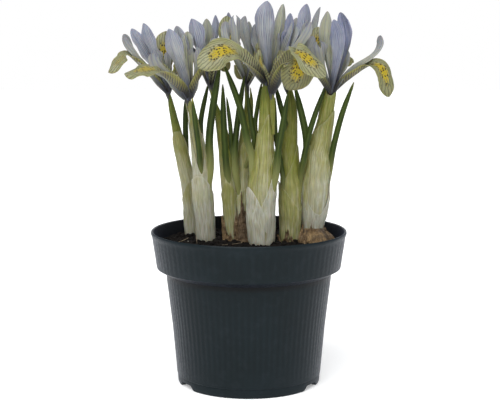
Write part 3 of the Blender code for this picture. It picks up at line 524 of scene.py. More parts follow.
# Flowers. Each starts at the top of its sheath. A petal is its kind, letter, width and
# greenness (a fall's haft width), the way its upper face looks (a fall's haft and blade),
# and a route from the base to the tip. A fall's route has its bend at the fourth place.
flowers = (
    {"base": (-45.5, 10, 162), "petals": (
        ("standard", "a", 9.2, -0.2, (0.25, 0.8, 0.2),
         ((-45.5, 10, 162.5), (-52, 10, 174.5), (-58.5, 9, 185), (-63.5, 9, 193.5), (-65.5, 10, 198.5))),
        ("standard", "b", 9, -0.1, (0.3, 0.7, 0.2),
         ((-45, 8, 162.5), (-49, 5, 174.5), (-53.5, 4, 185.5), (-57, 4, 194.5), (-58.5, 5, 201.5))),
        ("standard", "c", 9.5, 0.8, (-0.2, -0.9, 0.2),
         ((-45, 14, 163), (-47.5, 17, 170.5), (-50.5, 19, 177.5), (-52.5, 20, 182.5), (-53.5, 21, 186.5))),
        ("style", "a", 6.4, 0, (0.4, -0.5, 0.6),
         ((-45.5, 6, 163), (-52, 3, 172), (-58, 1, 179.5), (-64, 0, 188), (-69, 0, 195.5))),
        ("style", "b", 6.5, 0, (0.2, -0.8, 0.3),
         ((-44.5, 12, 163), (-47.5, 13, 171), (-50, 14, 176.5), (-52.5, 14, 181), (-54, 15, 185.5))),
        ("style", "c", 5, 0, (0, 0.6, 0.5),
         ((-44.5, 9, 163), (-44.5, 12, 170), (-45, 15, 175.5), (-45.5, 17, 181), (-46, 19, 185.5))),
        ("fall", "a", 7, 7.4, (0.4, -0.2, 0.9), (0.5, -0.35, 0.75),
         ((-46, 7, 163), (-54, 4, 171.5), (-61.5, 2, 179.5), (-67.5, 1, 184.5), (-70.5, 1, 182), (-74, 1, 178.5), (-78, 2, 174.5))),
        ("fall", "b", 12.5, 8.5, (0, -0.9, 0.3), (0, -1, 0.15),
         ((-44.5, 13, 163), (-45.5, 17, 169.5), (-46.5, 19, 174), (-47, 20, 178), (-47.5, 21, 184), (-48, 22, 189.5), (-47, 23, 197))),
        ("fall", "c", 7, 6, (-0.3, 0.4, 0.8), (0, 0.2, 1),
         ((-44.5, 9, 163), (-42, 9, 170), (-39.5, 9, 175.5), (-38.5, 9, 179), (-37, 9, 179.5), (-35.5, 9, 178), (-35, 9, 174.5))),
    )},
    {"base": (-33.5, -5, 158.5), "petals": (
        ("standard", "a", 11.6, 0.05, (0.2, 0.9, 0.2),
         ((-33.5, -7, 159.5), (-36, -9, 172), (-39, -10, 181.5), (-42, -10, 190.5), (-43.5, -9, 198.5))),
        ("standard", "b", 9.6, 0.25, (-0.1, -0.7, 0.3),
         ((-32.5, -3, 160), (-33.5, -1, 172.5), (-35.5, 1, 184), (-38, 2, 193), (-40, 3, 200))),
        ("standard", "c", 10.5, 0.8, (-0.2, -0.9, 0.2),
         ((-32.5, -2, 160.5), (-32.5, -2, 172.5), (-33.5, -1, 183.5), (-33.5, 0, 190.5), (-34, 1, 197))),
        ("style", "a", 11.5, 0, (0.3, -0.6, 0.6),
         ((-34, -9, 161), (-38.5, -12, 168.5), (-43.5, -14, 175.5), (-48, -15, 180), (-51, -15, 187))),
        ("style", "b", 8.5, 0, (-0.4, -0.6, 0.4),
         ((-32.5, -5, 160.5), (-30.5, -5, 169.5), (-29.5, -5, 177), (-29.5, -5, 183.5), (-30, -4, 189))),
        ("style", "c", 6, 0, (0, -0.7, 0.5),
         ((-33, 0, 160.5), (-33.5, 4, 169), (-34.5, 7, 176.5), (-35.5, 9, 183.5), (-36.5, 10, 189))),
        ("fall", "a", 10.5, 12.5, (0.3, -0.2, 0.9), (0.1, -0.5, 0.85),
         ((-34.5, -8, 160.5), (-39.5, -12, 167), (-45, -15, 172.5), (-49.5, -17, 176), (-55.5, -18, 177), (-61, -19, 176), (-67, -19, 174.5))),
        ("fall", "b", 9, 7.5, (-0.3, -0.1, 0.95), (-0.2, 0.2, 0.9),
         ((-32.5, -5, 160.5), (-29, -5, 168.5), (-25.5, -5, 175), (-23, -4, 179), (-21, -2, 178), (-20, 0, 175.5), (-19.5, 1, 172))),
        ("fall", "c", 9, 7, (0, -0.4, 0.8), (0, 0.4, 0.8),
         ((-33, 0, 161), (-33.5, 6, 169), (-34.5, 11, 174.5), (-36, 15, 177.5), (-37, 19, 177.5), (-37.5, 22, 174.5), (-38, 23, 170.5))),
    )},
    {"base": (-21, 0, 166.5), "petals": (
        ("standard", "a", 11, -0.25, (0.35, 0.8, 0.2),
         ((-21.5, -1, 167.5), (-24, -2, 177), (-27.5, -2, 187), (-29.5, -2, 195.5), (-31.5, -1, 204))),
        ("standard", "b", 8.8, 0.75, (-0.1, 0.8, 0.2),
         ((-21, 3, 168), (-22.5, 4, 178), (-24, 5, 188), (-23, 6, 196.5), (-23.5, 7, 204))),
        ("standard", "c", 5.8, -0.2, (-0.3, 0.8, 0.2),
         ((-20.5, 5, 168), (-20, 8, 180), (-19, 9, 191), (-18, 9, 199), (-18.5, 10, 206))),
        ("style", "a", 8.5, 0, (0.3, -0.7, 0.4),
         ((-21.5, 0, 168), (-23.5, 1, 174.5), (-26.5, 2, 180), (-28.5, 3, 185), (-30.5, 4, 190))),
        ("style", "b", 6, 0, (-0.3, -0.6, 0.4),
         ((-21, -1, 168), (-19.5, -3, 175), (-19, -3, 181.5), (-19, -2, 188), (-19.5, -1, 193.5))),
        ("style", "c", 6, 0, (-0.3, 0.5, 0.6),
         ((-20.5, 4, 168), (-19, 8, 174.5), (-18, 11, 180), (-17, 13, 184.5), (-16, 14, 189))),
        ("fall", "a", 8.5, 8, (0.4, -0.2, 0.9), (0.5, -0.4, 0.7),
         ((-21.5, 1, 167.5), (-25, 2, 172.5), (-29, 4, 178), (-32, 5, 182), (-34.5, 6, 181), (-36, 7, 178.5), (-37.5, 8, 175))),
        ("fall", "b", 6, 5, (0, -0.8, 0.4), (0, -0.8, 0.4),
         ((-21, -2, 167.5), (-20.5, -4, 172.5), (-20, -5, 177), (-20, -5, 180.5), (-20, -5, 183.5), (-20, -4, 187), (-19.5, -3, 190))),
        ("fall", "c", 8, 6, (0, 0.4, 0.8), (0, 0.6, 0.8),
         ((-20.5, 3, 167.5), (-19, 9, 172.5), (-17.5, 13, 177.5), (-16.5, 16, 181), (-15, 19, 180), (-14, 21, 177.5), (-13.5, 22, 174))),
    )},
    {"base": (-1, 12, 166.5), "petals": (
        ("standard", "a", 7.6, 0.35, (0.1, 0.9, 0.1),
         ((-1, 10, 167.5), (0.5, 7, 178), (-0.5, 5, 188), (-2.5, 4, 196), (-3, 4, 201.5), (-2, 4, 205.5))),
        ("standard", "b", 5.4, 0.5, (0, 0.9, 0.1),
         ((-0.5, 12, 167.5), (2, 12, 180), (2, 12, 190.5), (0.5, 12, 197), (0, 12, 202.5))),
        ("standard", "c", 6.2, 0, (0.2, -0.8, 0.2),
         ((-1.5, 14, 167.5), (-5.5, 15, 180.5), (-9.5, 15, 192), (-11, 15, 200.5), (-11.5, 15, 207.5))),
        ("style", "a", 6, 0, (0.4, -0.5, 0.5),
         ((-1.5, 11, 167.5), (-3, 9, 175), (-5, 8, 181), (-6, 7, 186.5), (-6.5, 7, 192))),
        ("style", "b", 6, 0, (-0.4, -0.4, 0.6),
         ((-0.5, 12, 167.5), (2.5, 11, 175.5), (3.5, 10, 182.5), (4, 10, 190), (3.5, 11, 196))),
        ("style", "c", 6, 0, (0, 0.6, 0.6),
         ((-0.5, 15, 167.5), (0, 19, 174.5), (0.5, 23, 180), (0.5, 25, 185), (0, 26, 189.5))),
        ("fall", "a", 10, 7, (0.3, -0.8, 0.4), (0.1, -1, 0.1),
         ((-1.5, 12, 167), (-5, 11, 174), (-7.5, 10, 181), (-10, 9, 188), (-11.5, 9, 194), (-12, 9, 199.5), (-12.5, 10, 205.5))),
        ("fall", "b", 6.5, 6, (-0.2, -0.8, 0.4), (0, -1, 0.2),
         ((-0.5, 10, 167), (2, 8, 172), (4, 6, 176.5), (5.5, 5, 180.5), (6, 5, 184.5), (6.5, 5, 188.5), (7, 6, 192))),
        ("fall", "c", 9, 7, (-0.2, 0.3, 0.9), (0, 0.6, 0.7),
         ((-0.5, 15, 167), (-1.5, 21, 172), (-3, 26, 176), (-3.5, 30, 178), (-4, 34, 177), (-4.5, 36, 173.5), (-5, 37, 169))),
    )},
    {"base": (9.5, -4, 166.5), "petals": (
        ("standard", "a", 13, 0, (0.05, 0.9, 0.15),
         ((9.5, -6, 167.5), (10, -9, 179.5), (9, -10, 191.5), (8.5, -10, 202.5), (10, -8, 213.5))),
        ("standard", "b", 9, 0.75, (-0.35, 0.8, 0.1),
         ((10, -3, 167), (12.5, -1, 178), (16, 1, 190), (18, 2, 201), (19, 3, 212))),
        ("standard", "c", 8.5, 0.3, (0.1, -0.8, 0.2),
         ((9.5, 0, 167.5), (7, 5, 180), (5, 7, 190), (4, 8, 196.5), (3.5, 9, 201))),
        ("style", "a", 8.4, 0, (0.3, -0.7, 0.5),
         ((8.5, -8, 169.5), (3, -11, 178), (-2, -12, 184), (-5.5, -12, 190.5), (-6.5, -11, 197.5), (-7.5, -10, 206))),
        ("style", "b", 8.2, 0, (-0.4, -0.6, 0.6),
         ((11, -9, 169.5), (16, -12, 178.5), (21, -14, 185.5), (26, -14, 191.5), (30, -13, 197.5), (32.5, -12, 203.5))),
        ("style", "c", 6.4, 0, (0.35, -0.6, 0.6),
         ((7, -9, 171), (0.5, -13, 180), (-5.5, -15, 186), (-10, -15, 191), (-12, -14, 197), (-12.5, -13, 202.5))),
        ("fall", "a", 16.5, 9.6, (0.15, -0.65, 0.7), (-0.05, -0.95, 0.35),
         ((8, -8, 169), (3.5, -12, 174.5), (-1.5, -15, 180), (-6, -17, 185), (-13.5, -19, 187), (-20.5, -19, 183.5), (-27.5, -17, 178))),
        ("fall", "b", 9, 9, (-0.4, -0.2, 0.9), (-0.4, -0.1, 0.9),
         ((11, -5, 168.5), (15, -6, 174.5), (18.5, -6, 180.5), (22.5, -5, 185), (25, -2, 183.5), (26.5, 0, 181), (28, 2, 178))),
        ("fall", "c", 7, 6, (0, 0.6, 0.6), (0, 0.8, 0.5),
         ((10, -1, 167.5), (10, 4, 173.5), (9.5, 8, 178.5), (9, 11, 182), (8.5, 14, 182), (8, 16, 180), (7.5, 17, 177))),
    )},
    {"base": (12.5, -8, 162.5), "petals": (
        ("standard", "a", 7.4, -0.6, (-0.3, -0.8, 0.2),
         ((13.5, -5, 163.5), (18, -1, 177), (20.5, 2, 189.5), (22.5, 4, 198.5), (23, 5, 207))),
        ("standard", "b", 8.4, 0.4, (-0.2, -0.9, 0.2),
         ((13.5, -5, 163.5), (18, -2, 176), (21.5, 1, 187), (24.5, 3, 195.5), (26.5, 4, 204.5))),
        ("standard", "c", 6, 0.3, (0, -0.6, 0.4),
         ((13, -5, 164), (14, -2, 173.5), (14.5, 0, 183.5), (14.5, 2, 194.5), (14.5, 3, 202))),
        ("style", "a", 6, 0, (-0.3, -0.5, 0.6),
         ((13.5, -7, 164), (17, -7, 172), (20, -7, 178.5), (21.5, -6, 183.5), (22, -5, 189))),
        ("style", "b", 3.4, 0, (0, -0.5, 0.6),
         ((13, -6, 164), (14, -4, 169.5), (14.5, -3, 174), (14.5, -2, 178), (14.5, -1, 182.5))),
        ("style", "c", 3.4, 0, (0.3, -0.5, 0.5),
         ((12, -5, 164), (11.5, -4, 169), (11, -4, 172.5), (10.5, -4, 175.5), (10.5, -4, 178))),
        ("fall", "a", 17.6, 9, (-0.5, -0.45, 0.75), (-0.1, -1, -0.25),
         ((13, -10, 163.5), (15.5, -14, 171.5), (19, -18, 179), (24, -21, 184), (27, -23, 179.5), (25, -22, 173), (20.5, -19, 166))),
        ("fall", "b", 4.6, 4, (0, -0.6, 0.4), (0, -0.6, 0.4),
         ((13.5, -6, 163.5), (15.5, -5, 168.5), (16.5, -4, 172.5), (17, -4, 176.5), (17.5, -3, 180.5), (17.5, -3, 183.5), (17.5, -3, 187))),
        ("fall", "c", 4.6, 4, (0.4, -0.6, 0.4), (0.4, -0.6, 0.4),
         ((12, -6, 163.5), (11, -7, 168), (9.5, -8, 172.5), (8, -9, 176), (6.5, -9, 180), (6, -9, 184), (6, -8, 187.5))),
    )},
    {"base": (45.5, -5, 162), "petals": (
        ("standard", "a", 8.8, 0.8, (0.3, 0.85, 0.2),
         ((45.5, -5, 163), (44.5, -6, 175), (42, -6, 187), (41.5, -5, 198), (43, -4, 208))),
        ("standard", "b", 9.4, -0.5, (-0.1, 0.9, 0.15),
         ((45.5, -7, 163.5), (47, -11, 175), (48.5, -12, 185.5), (48.5, -12, 194.5), (46, -11, 203.5))),
        ("standard", "c", 9.6, -0.8, (-0.25, -0.9, 0.2),
         ((46.5, -4, 163.5), (49.5, -1, 175), (52.5, 1, 185.5), (53.5, 2, 195.5), (50.5, 3, 207.5))),
        ("style", "a", 5.2, 0, (-0.3, -0.35, 0.9),
         ((47, -7, 164.5), (51, -8, 172.5), (57, -9, 178.5), (63.5, -10, 182.5), (68, -10, 186), (70.5, -10, 190), (71.5, -10, 195))),
        ("style", "b", 10, 0, (0.2, -0.8, 0.5),
         ((44.5, -7, 164.5), (42.5, -9, 173), (40.5, -10, 180), (39.5, -10, 186), (38, -9, 192))),
        ("style", "c", 6, 0, (0, 0.4, 0.8),
         ((46.5, -2, 164.5), (49.5, 2, 172.5), (52.5, 5, 178), (54, 7, 183), (55, 8, 187))),
        ("fall", "a", 9.4, 7, (-0.2, 0.25, 0.95), (0.2, -0.9, 0.35),
         ((47, -7, 164), (53, -8, 170), (59.5, -9, 174.5), (66.5, -10, 179), (72, -11, 177.5), (75, -11, 171), (76.5, -10, 161.5))),
        ("fall", "b", 13.6, 8.5, (0.5, -0.3, 0.8), (0.2, -0.75, 0.6),
         ((44, -9, 163.5), (38.5, -17, 171), (32, -23, 178.5), (23.5, -27, 186.5), (29, -29, 184.5), (35, -29, 180), (41, -27, 173.5))),
        ("fall", "c", 8, 7, (-0.2, 0.3, 0.9), (0, 0.7, 0.6),
         ((46.5, -3, 163.5), (49, 3, 169.5), (51.5, 8, 175), (53.5, 12, 179), (55, 15, 181), (55.5, 18, 179.5), (56, 20, 177))),
    )},
    {"base": (21.5, 9, 164.5), "petals": (
        ("standard", "a", 10, -0.3, (-0.2, 0.8, 0.2),
         ((22, 8, 165.5), (24, 5, 178), (27.5, 3, 189), (30.5, 2, 199.5), (32, 3, 212))),
        ("standard", "b", 6.4, 0.35, (-0.5, 0.5, 0.2),
         ((22.5, 9, 165.5), (28, 10, 177.5), (33.5, 10, 189), (37.5, 10, 199), (40, 11, 210.5))),
        ("standard", "c", 7, 0.3, (0, -0.8, 0.2),
         ((22, 12, 165.5), (24, 16, 177.5), (26, 18, 188.5), (29, 19, 197.5), (31, 20, 206.5))),
        ("style", "a", 6, 0, (-0.3, -0.6, 0.5),
         ((22.5, 7, 165.5), (26.5, 4, 174.5), (30, 3, 182.5), (33.5, 3, 189), (35.5, 4, 194.5))),
        ("style", "b", 7, 0, (-0.3, -0.6, 0.4),
         ((23, 8, 165.5), (28.5, 8, 173.5), (33.5, 8, 180), (38, 9, 186.5), (41, 10, 193.5))),
        ("style", "c", 6, 0, (0, 0.5, 0.7),
         ((22, 12, 165.5), (24, 17, 173), (25.5, 20, 179.5), (27.5, 22, 185), (28.5, 23, 190.5))),
        ("fall", "a", 8.6, 7, (-0.4, -0.6, 0.6), (0, -1, 0.25),
         ((22.5, 7, 165.5), (27.5, 6, 174), (31.5, 5, 180.5), (34.5, 5, 186), (37, 5, 190.5), (38, 6, 195), (38.5, 7, 199.5))),
        ("fall", "b", 11.5, 9, (-0.5, -0.3, 0.8), (-0.1, -0.35, 0.95),
         ((23, 8, 165.5), (29, 6, 174.5), (34.5, 4, 182.5), (38.5, 2, 187.5), (41, 0, 187.5), (42.5, -1, 186), (43, -1, 182.5))),
        ("fall", "c", 9, 7, (0, 0.3, 0.9), (0, 0.6, 0.7),
         ((22, 12, 165.5), (23, 18, 170.5), (23, 23, 175), (23, 27, 177.5), (22.5, 31, 177), (22, 33, 174), (21.5, 34, 170))),
    )},
)

standardShape = {
    "rows": 40, "cols": 22, "thickness": 0.4,
    "widths": ((0, 0.3), (0.12, 0.54), (0.35, 0.78), (0.58, 0.97), (0.74, 1.0), (0.9, 0.84), (1, 0.7)),
    "roundFrom": 0.8, "tipPower": 1.15, "folds": ((0, 42), (0.35, 28), (0.7, 20), (1, 20)),
    "curls": ((0, 34), (0.5, 46), (0.8, 26), (1, 6)), "ruffle": 0.95, "waves": 2.1, "midrib": 0.35, "cleft": 0.0,
}
styleShape = {
    "rows": 36, "cols": 18, "thickness": 0.45,
    "widths": ((0, 0.4), (0.2, 0.68), (0.5, 0.78), (0.74, 0.96), (0.88, 1.0), (1, 0.86)),
    "roundFrom": 0.9, "tipPower": 0.9, "folds": ((0, -34), (0.4, -40), (0.8, -26), (1, -10)),
    "curls": ((0, -30), (0.6, -36), (1, 24)), "ruffle": 0.5, "waves": 1.7, "midrib": -0.35, "cleft": 0.75,
}
# falls painted darker olive: partly their own tone, partly painted shade
shadedOliveFalls = {"fall_6_a": 0.55, "fall_7_a": 0.35, "fall_2_a": 0.15}
paleSignals = {"fall_1_a": 0.2, "fall_2_a": 0.6, "fall_6_b": 0.4, "fall_6_c": 0.6}
fallShape = {"rows": 52, "cols": 26, "thickness": 0.42, "ruffle": 0.8, "waves": 3.3, "midrib": 0.3, "cleft": 0.0}


def petalPiece(name, route, faceAt, half, foldAt, curlAt, shape, looks, chance, tint, turnAt=0.0):
    rows, cols, steps = shape["rows"], shape["cols"], 120
    spine, length = evenRoute(route, steps)
    phases = (chance.uniform(0, 6.28), chance.uniform(0, 6.28))
    seed = chance.uniform(0, 50)
    # a narrow style has one lobe, a wide one two
    cleft = shape["cleft"] * min(max((half(0.8) - 3.2) / 0.9, 0.0), 1.0)
    grid, shares, sizes, thick, bladeShares = [], [], [], [], []
    for i in range(rows + 1):
        v = 1 - (1 - i / rows) ** 1.3
        line, lineShares, lineSizes, lineThick = [], [], [], []
        for j in range(cols + 1):
            u = 2 * j / cols - 1
            a = abs(u)
            w = v
            if cleft and v > 0.7:
                # two lobes with a notch between them
                lobe = max(1 - abs(2 * a - 1) ** 1.5, 0.0)
                w = 0.7 + (v - 0.7) * (1 - cleft * (1 - lobe) * (0.7 if a < 0.5 else 0.45))
            place = w * steps
            k = min(int(place), steps - 1)
            centre = spine[k].lerp(spine[k + 1], place - k)
            tangent = (spine[min(k + 3, steps)] - spine[max(k - 2, 0)]).normalized()
            side = faceAt(w).cross(tangent).normalized()
            normal = tangent.cross(side)
            wide = half(w) * (1 + 0.09 * lumps((w * 5, math.copysign(2, u), 0), seed, 3))
            fold = math.radians(foldAt(w)) * (1 - math.exp(-a / 0.16))
            angle = fold + math.radians(curlAt(w)) * a * 0.5
            x = wide * a * math.cos(angle)
            y = wide * a * math.sin(angle)
            edge = a * a * ease(w, 0.3, 0.75) * shape["ruffle"] * min(wide / 4, 1.3)
            phase = phases[0] if u < 0 else phases[1]
            y += edge * (math.sin(6.2832 * shape["waves"] * w + phase) + 0.8 * lumps((u * 1.5, w * 6, 0), seed))
            x += 0.25 * edge * lumps((u * 2, w * 9, 4), seed)
            y -= shape["midrib"] * math.exp(-((u / 0.1) ** 2)) * min(wide / 4, 1)
            y += 0.7 * min(wide / 5, 1) * lumps((u * 1.2, w * 3, 9), seed, 3)
            p = centre + side * math.copysign(x, u) + normal * y
            line.append(p[:])
            lineShares.append(((u + 1) / 2, w))
            lineSizes.append((u * wide, (w - turnAt) * length))
            bladeShares.append((w - turnAt) / (1 - turnAt))
            lineThick.append(shape["thickness"] * (1 - 0.65 * a**5) * (1 - 0.5 * ease(w, 0.85, 1.0)))
        grid.append(line)
        shares.append(lineShares)
        sizes.append(lineSizes)
        thick.append(lineThick)
    tints = np.full((rows + 1, cols + 1), tint)
    oliveShades = np.full((rows + 1, cols + 1), shadedOliveFalls.get(name, 0.0))
    blends = {"tint": tints, "blade": bladeShares, "olive": oliveShades}
    return sheetPiece(name, grid, shares, sizes, thick, looks, blends)


def plainPetal(name, kind, width, green, face, route, chance):
    s, look = (standardShape, standardSkin) if kind == "standard" else (styleShape, styleSkin)
    facing = Vector(face)

    def half(v):
        wide = width / 2 * profileAt(s["widths"], v)
        if v > s["roundFrom"]:
            past = (v - s["roundFrom"]) / (1 - s["roundFrom"])
            wide *= max(1 - past * past, 0.0008) ** (0.5 * s["tipPower"])
            wide = max(wide, 0.5 * (1 - v) / 0.07)
        return max(wide, 0.09)

    return petalPiece(name, throughPoints(route, 160), lambda v: facing, half, lambda v: profileAt(s["folds"], v),
                      lambda v: profileAt(s["curls"], v), s, [look], chance, green)


def fallPiece(name, width, haftWidth, haftFace, bladeFace, route, chance):
    points = throughPoints(route, 40 * (len(route) - 1))
    haftLength = evenRoute(points[:121], 40)[1]
    wholeLength = evenRoute(points, 40)[1]
    turnAt = haftLength / wholeLength
    haftFacing, bladeFacing = Vector(haftFace).normalized(), Vector(bladeFace).normalized()

    def faceAt(v):
        return haftFacing.lerp(bladeFacing, ease(v, 0.72 * turnAt, turnAt + 0.22 * (1 - turnAt)))

    def half(v):
        if v < turnAt:
            return haftWidth / 2 * profileAt(((0, 0.42), (0.15, 0.74), (0.45, 1.0), (0.85, 1.0), (1, 0.9)), v / turnAt)
        t = (v - turnAt) / (1 - turnAt)
        wide = haftWidth * 0.92 + (width - haftWidth * 0.92) * ease(t, -0.1, 0.42)
        if t > 0.5:
            wide *= max(1 - ((t - 0.5) / 0.5) ** 2.3, 0.0006) ** 0.55
        return max(wide / 2, 0.09)

    def foldAt(v):
        return profileAt(((0, 60), (0.5 * turnAt, 48), (0.9 * turnAt, 30), (turnAt + 0.3 * (1 - turnAt), 4), (1, -4)), v)

    def curlAt(v):
        return profileAt(((0, 20), (turnAt, 10), (turnAt + 0.5 * (1 - turnAt), -26), (1, -34)), v)

    return petalPiece(name, points, faceAt, half, foldAt, curlAt, fallShape,
                      [fallInside, fallOutside], chance, paleSignals.get(name, 1.0), turnAt)


def tubePiece(name, shoot, base, seed):
    # the tube stays inside its sheath and opens into the petals
    rings = []
    for height, radius in ((-9, 0.5), (-4, 0.8), (0, 1.4), (2, 2.0), (4.0, 2.4), (5.5, 1.6)):
        x, y, _ = shootAt(shoot, base[2] + height)
        share = ease(height, -6, 0)
        centre = (x + (base[0] - x) * share, y + (base[1] - y) * share)
        ring = []
        for k in range(36):
            turn = 2 * math.pi * k / 36
            swell = radius * (1 + 0.12 * math.cos(3 * turn + seed) + 0.05 * math.cos(9 * turn))
            ring.append((centre[0] + swell * math.cos(turn), centre[1] + swell * math.sin(turn), base[2] + height))
        rings.append(ring)
    return loftPiece(name, rings, [tubeSkin])


def makeTubeLook():
    look, tree, shader = newLook("flowerTube", 0.5)
    uv, x, y = mapParts(tree, "shareMap")
    streaks = useGroup(tree, fibres, Finer=3.0, Stretch=12.0, Wander=0.4)["Fibres"]
    body = ramp(tree, y, ((0.0, paint(96, 100, 70)), (0.5, paint(30, 29, 32)), (0.7, paint(18, 18, 22)), (1.0, paint(26, 26, 32))))
    body = mixed(tree, calc(tree, "MULTIPLY", streaks, 0.35), body, paint(70, 70, 84))
    tree.links.new(body, shader.inputs["Base Color"])
    relief(tree, shader, streaks, 0.1, 0.5)
    return look


tubeSkin = makeTubeLook()
flowerShoots = ("a", "b", "c", "d", "e", "eSide", "g", "f")
for number, flower in enumerate(flowers, start=1):
    chance = random.Random(100 + number)
    crown = f"flower_{number}_crown"
    settle(tubePiece(f"tube_{number}", flowerShoots[number - 1], flower["base"], number), "petal", crown)
    for kind, letter, width, green, *faces, route in flower["petals"]:
        title = f"{kind}_{number}_{letter}"
        if kind == "fall":
            petal = fallPiece(title, width, green, *faces, route, chance)
            settle(petal, "fall_petal", f"flower_{number}_fall_{letter}")
        else:
            settle(plainPetal(title, kind, width, green, *faces, route, chance), "petal", crown)
print("flowers made")


# Sheaths

shootDepth = 0.74

# each layer: shoot, name, low edge, facing, wrap, how far it stands off the shoot's own
# width, greenness low and high, crumple, and its top edge as places across and heights
layers = (
    ("a", "spathe", 108, 258, 340, -0.5, 0.6, 0.98, 0.1, ((-1, 140), (-0.4, 158), (0, 164.5), (0.4, 158), (1, 140))),
    ("a", "sheath", 76, 275, 335, 0.0, 0.08, 0.5, 0.25, ((-1, 118), (-0.5, 136), (0.15, 140.5), (0.5, 134), (1, 112))),
    ("a", "papery", 74.5, 275, 345, 0.35, 0.06, 0.4, 0.5, ((-1, 92), (-0.5, 100), (0.1, 111), (0.5, 106), (1, 90))),
    ("b", "spathe", 108, 255, 330, -0.6, 0.3, 0.5, 0.1, ((-1, 150), (-0.4, 161), (0, 163), (0.4, 158), (1, 140))),
    ("b", "sheath", 76, 270, 345, 0.05, 0.1, 0.4, 0.25,
     ((-1, 130), (-0.6, 152), (-0.42, 163.5), (-0.26, 136), (0.02, 118), (0.2, 128), (0.4, 141), (0.6, 135), (1, 118))),
    ("b", "papery", 74.5, 270, 350, 0.55, 0.02, 0.2, 0.45, ((-1, 100), (-0.5, 113), (0, 116.8), (0.5, 106.5), (1, 98))),
    ("c", "spathe", 104, 255, 340, -0.5, 0.5, 0.85, 0.1, ((-1, 140), (-0.4, 156), (0, 167), (0.4, 156), (1, 136))),
    ("c", "sheath", 76, 270, 345, 0.0, 0.3, 0.75, 0.3,
     ((-1, 130), (-0.6, 150), (-0.42, 161), (-0.22, 130), (0, 112), (0.2, 122), (0.42, 136), (0.6, 130), (1, 115))),
    ("c", "papery", 74.5, 270, 350, 0.3, 0.3, 0.5, 0.4, ((-1, 95), (-0.5, 105), (-0.05, 113), (0.5, 101.3), (1, 92))),
    ("d", "spathe", 108, 268, 350, -0.4, 0.5, 0.85, 0.1, ((-1, 135), (-0.32, 168), (0, 158), (0.35, 165), (1, 135))),
    ("d", "sheath", 80, 270, 345, 0.05, 0.22, 0.5, 0.3, ((-1, 118), (-0.5, 128), (0.2, 137), (0.6, 130), (1, 118))),
    ("d", "papery", 79, 275, 345, 0.4, 0.18, 0.36, 0.5, ((-1, 100), (-0.4, 104), (0.3, 110), (0.7, 104), (1, 96))),
    ("e", "spathe", 118, 236, 250, -0.3, 0.42, 0.9, 0.1, ((-1, 150), (-0.4, 164), (0.1, 169.5), (0.5, 166), (1, 155))),
    ("e", "spatheRight", 118, 318, 190, -0.5, 0.5, 0.8, 0.1, ((-1, 150), (-0.3, 161), (0, 165.5), (0.4, 158), (1, 146))),
    ("e", "sheath", 78, 191, 204, 0.05, 0.3, 0.52, 0.25, ((-1, 125), (-0.4, 136), (0.1, 141.5), (0.4, 142), (0.8, 150), (1, 152))),
    ("e", "sheathLeft", 77, 170, 158, 0.3, 0.34, 0.5, 0.3, ((-1, 120), (0.2, 131), (0.65, 134), (1, 126))),
    ("e", "sheathRight", 77, 350, 150, 0.1, 0.3, 0.6, 0.3, ((-1, 118), (-0.4, 126), (0.1, 133), (1, 124))),
    ("e", "papery", 74.5, 90, 384, 0.75, 0.0, 0.08, 0.6,
     ((-1, 97), (-0.82, 109), (-0.64, 121), (-0.4, 118), (0, 112), (0.4, 110), (0.64, 112), (0.82, 107), (1, 97))),
    ("eSide", "spathe", 141, 270, 330, -0.1, 0.6, 0.7, 0.05, ((-1, 150), (0, 163), (1, 150))),
    ("f", "spathe", 112, 268, 345, -0.5, 0.62, 0.78, 0.1, ((-1, 144), (-0.3, 160), (0.1, 167), (0.45, 158), (1, 140))),
    ("f", "sheath", 76, 270, 345, 0.0, 0.36, 0.6, 0.25, ((-1, 104), (-0.3, 112), (0.1, 124), (0.35, 134), (0.55, 129), (1, 112))),
    ("f", "papery", 74.5, 272, 350, 0.35, 0.34, 0.5, 0.45, ((-1, 108), (-0.5, 114), (-0.2, 110), (0.3, 98), (0.5, 101), (1, 98))),
    ("g", "spathe", 116, 262, 350, -0.45, 0.42, 0.72, 0.1, ((-1, 168), (-0.36, 169), (-0.12, 163.5), (0.2, 162.5), (0.48, 166), (1, 168))),
    ("g", "sheath", 84, 270, 345, 0.0, 0.18, 0.52, 0.25, ((-1, 126), (-0.55, 137), (-0.3, 143), (0, 148), (0.35, 154), (0.5, 152), (1, 135))),
    ("g", "sheathLeft", 84, 165, 150, 0.3, 0.2, 0.45, 0.3, ((-1, 118), (0.3, 131), (0.75, 134), (1, 124))),
    ("g", "papery", 82, 270, 350, 0.45, 0.0, 0.12, 0.6, ((-1, 106), (-0.5, 112), (-0.25, 104), (0.1, 95), (0.35, 104), (0.5, 122), (1, 112))),
)

sheathLook = {
    "ramp": ((0.0, (178, 176, 160)), (0.2, (166, 164, 130)), (0.42, (146, 144, 86)), (0.7, (120, 124, 42)),
             (1.0, (82, 100, 22))),
}


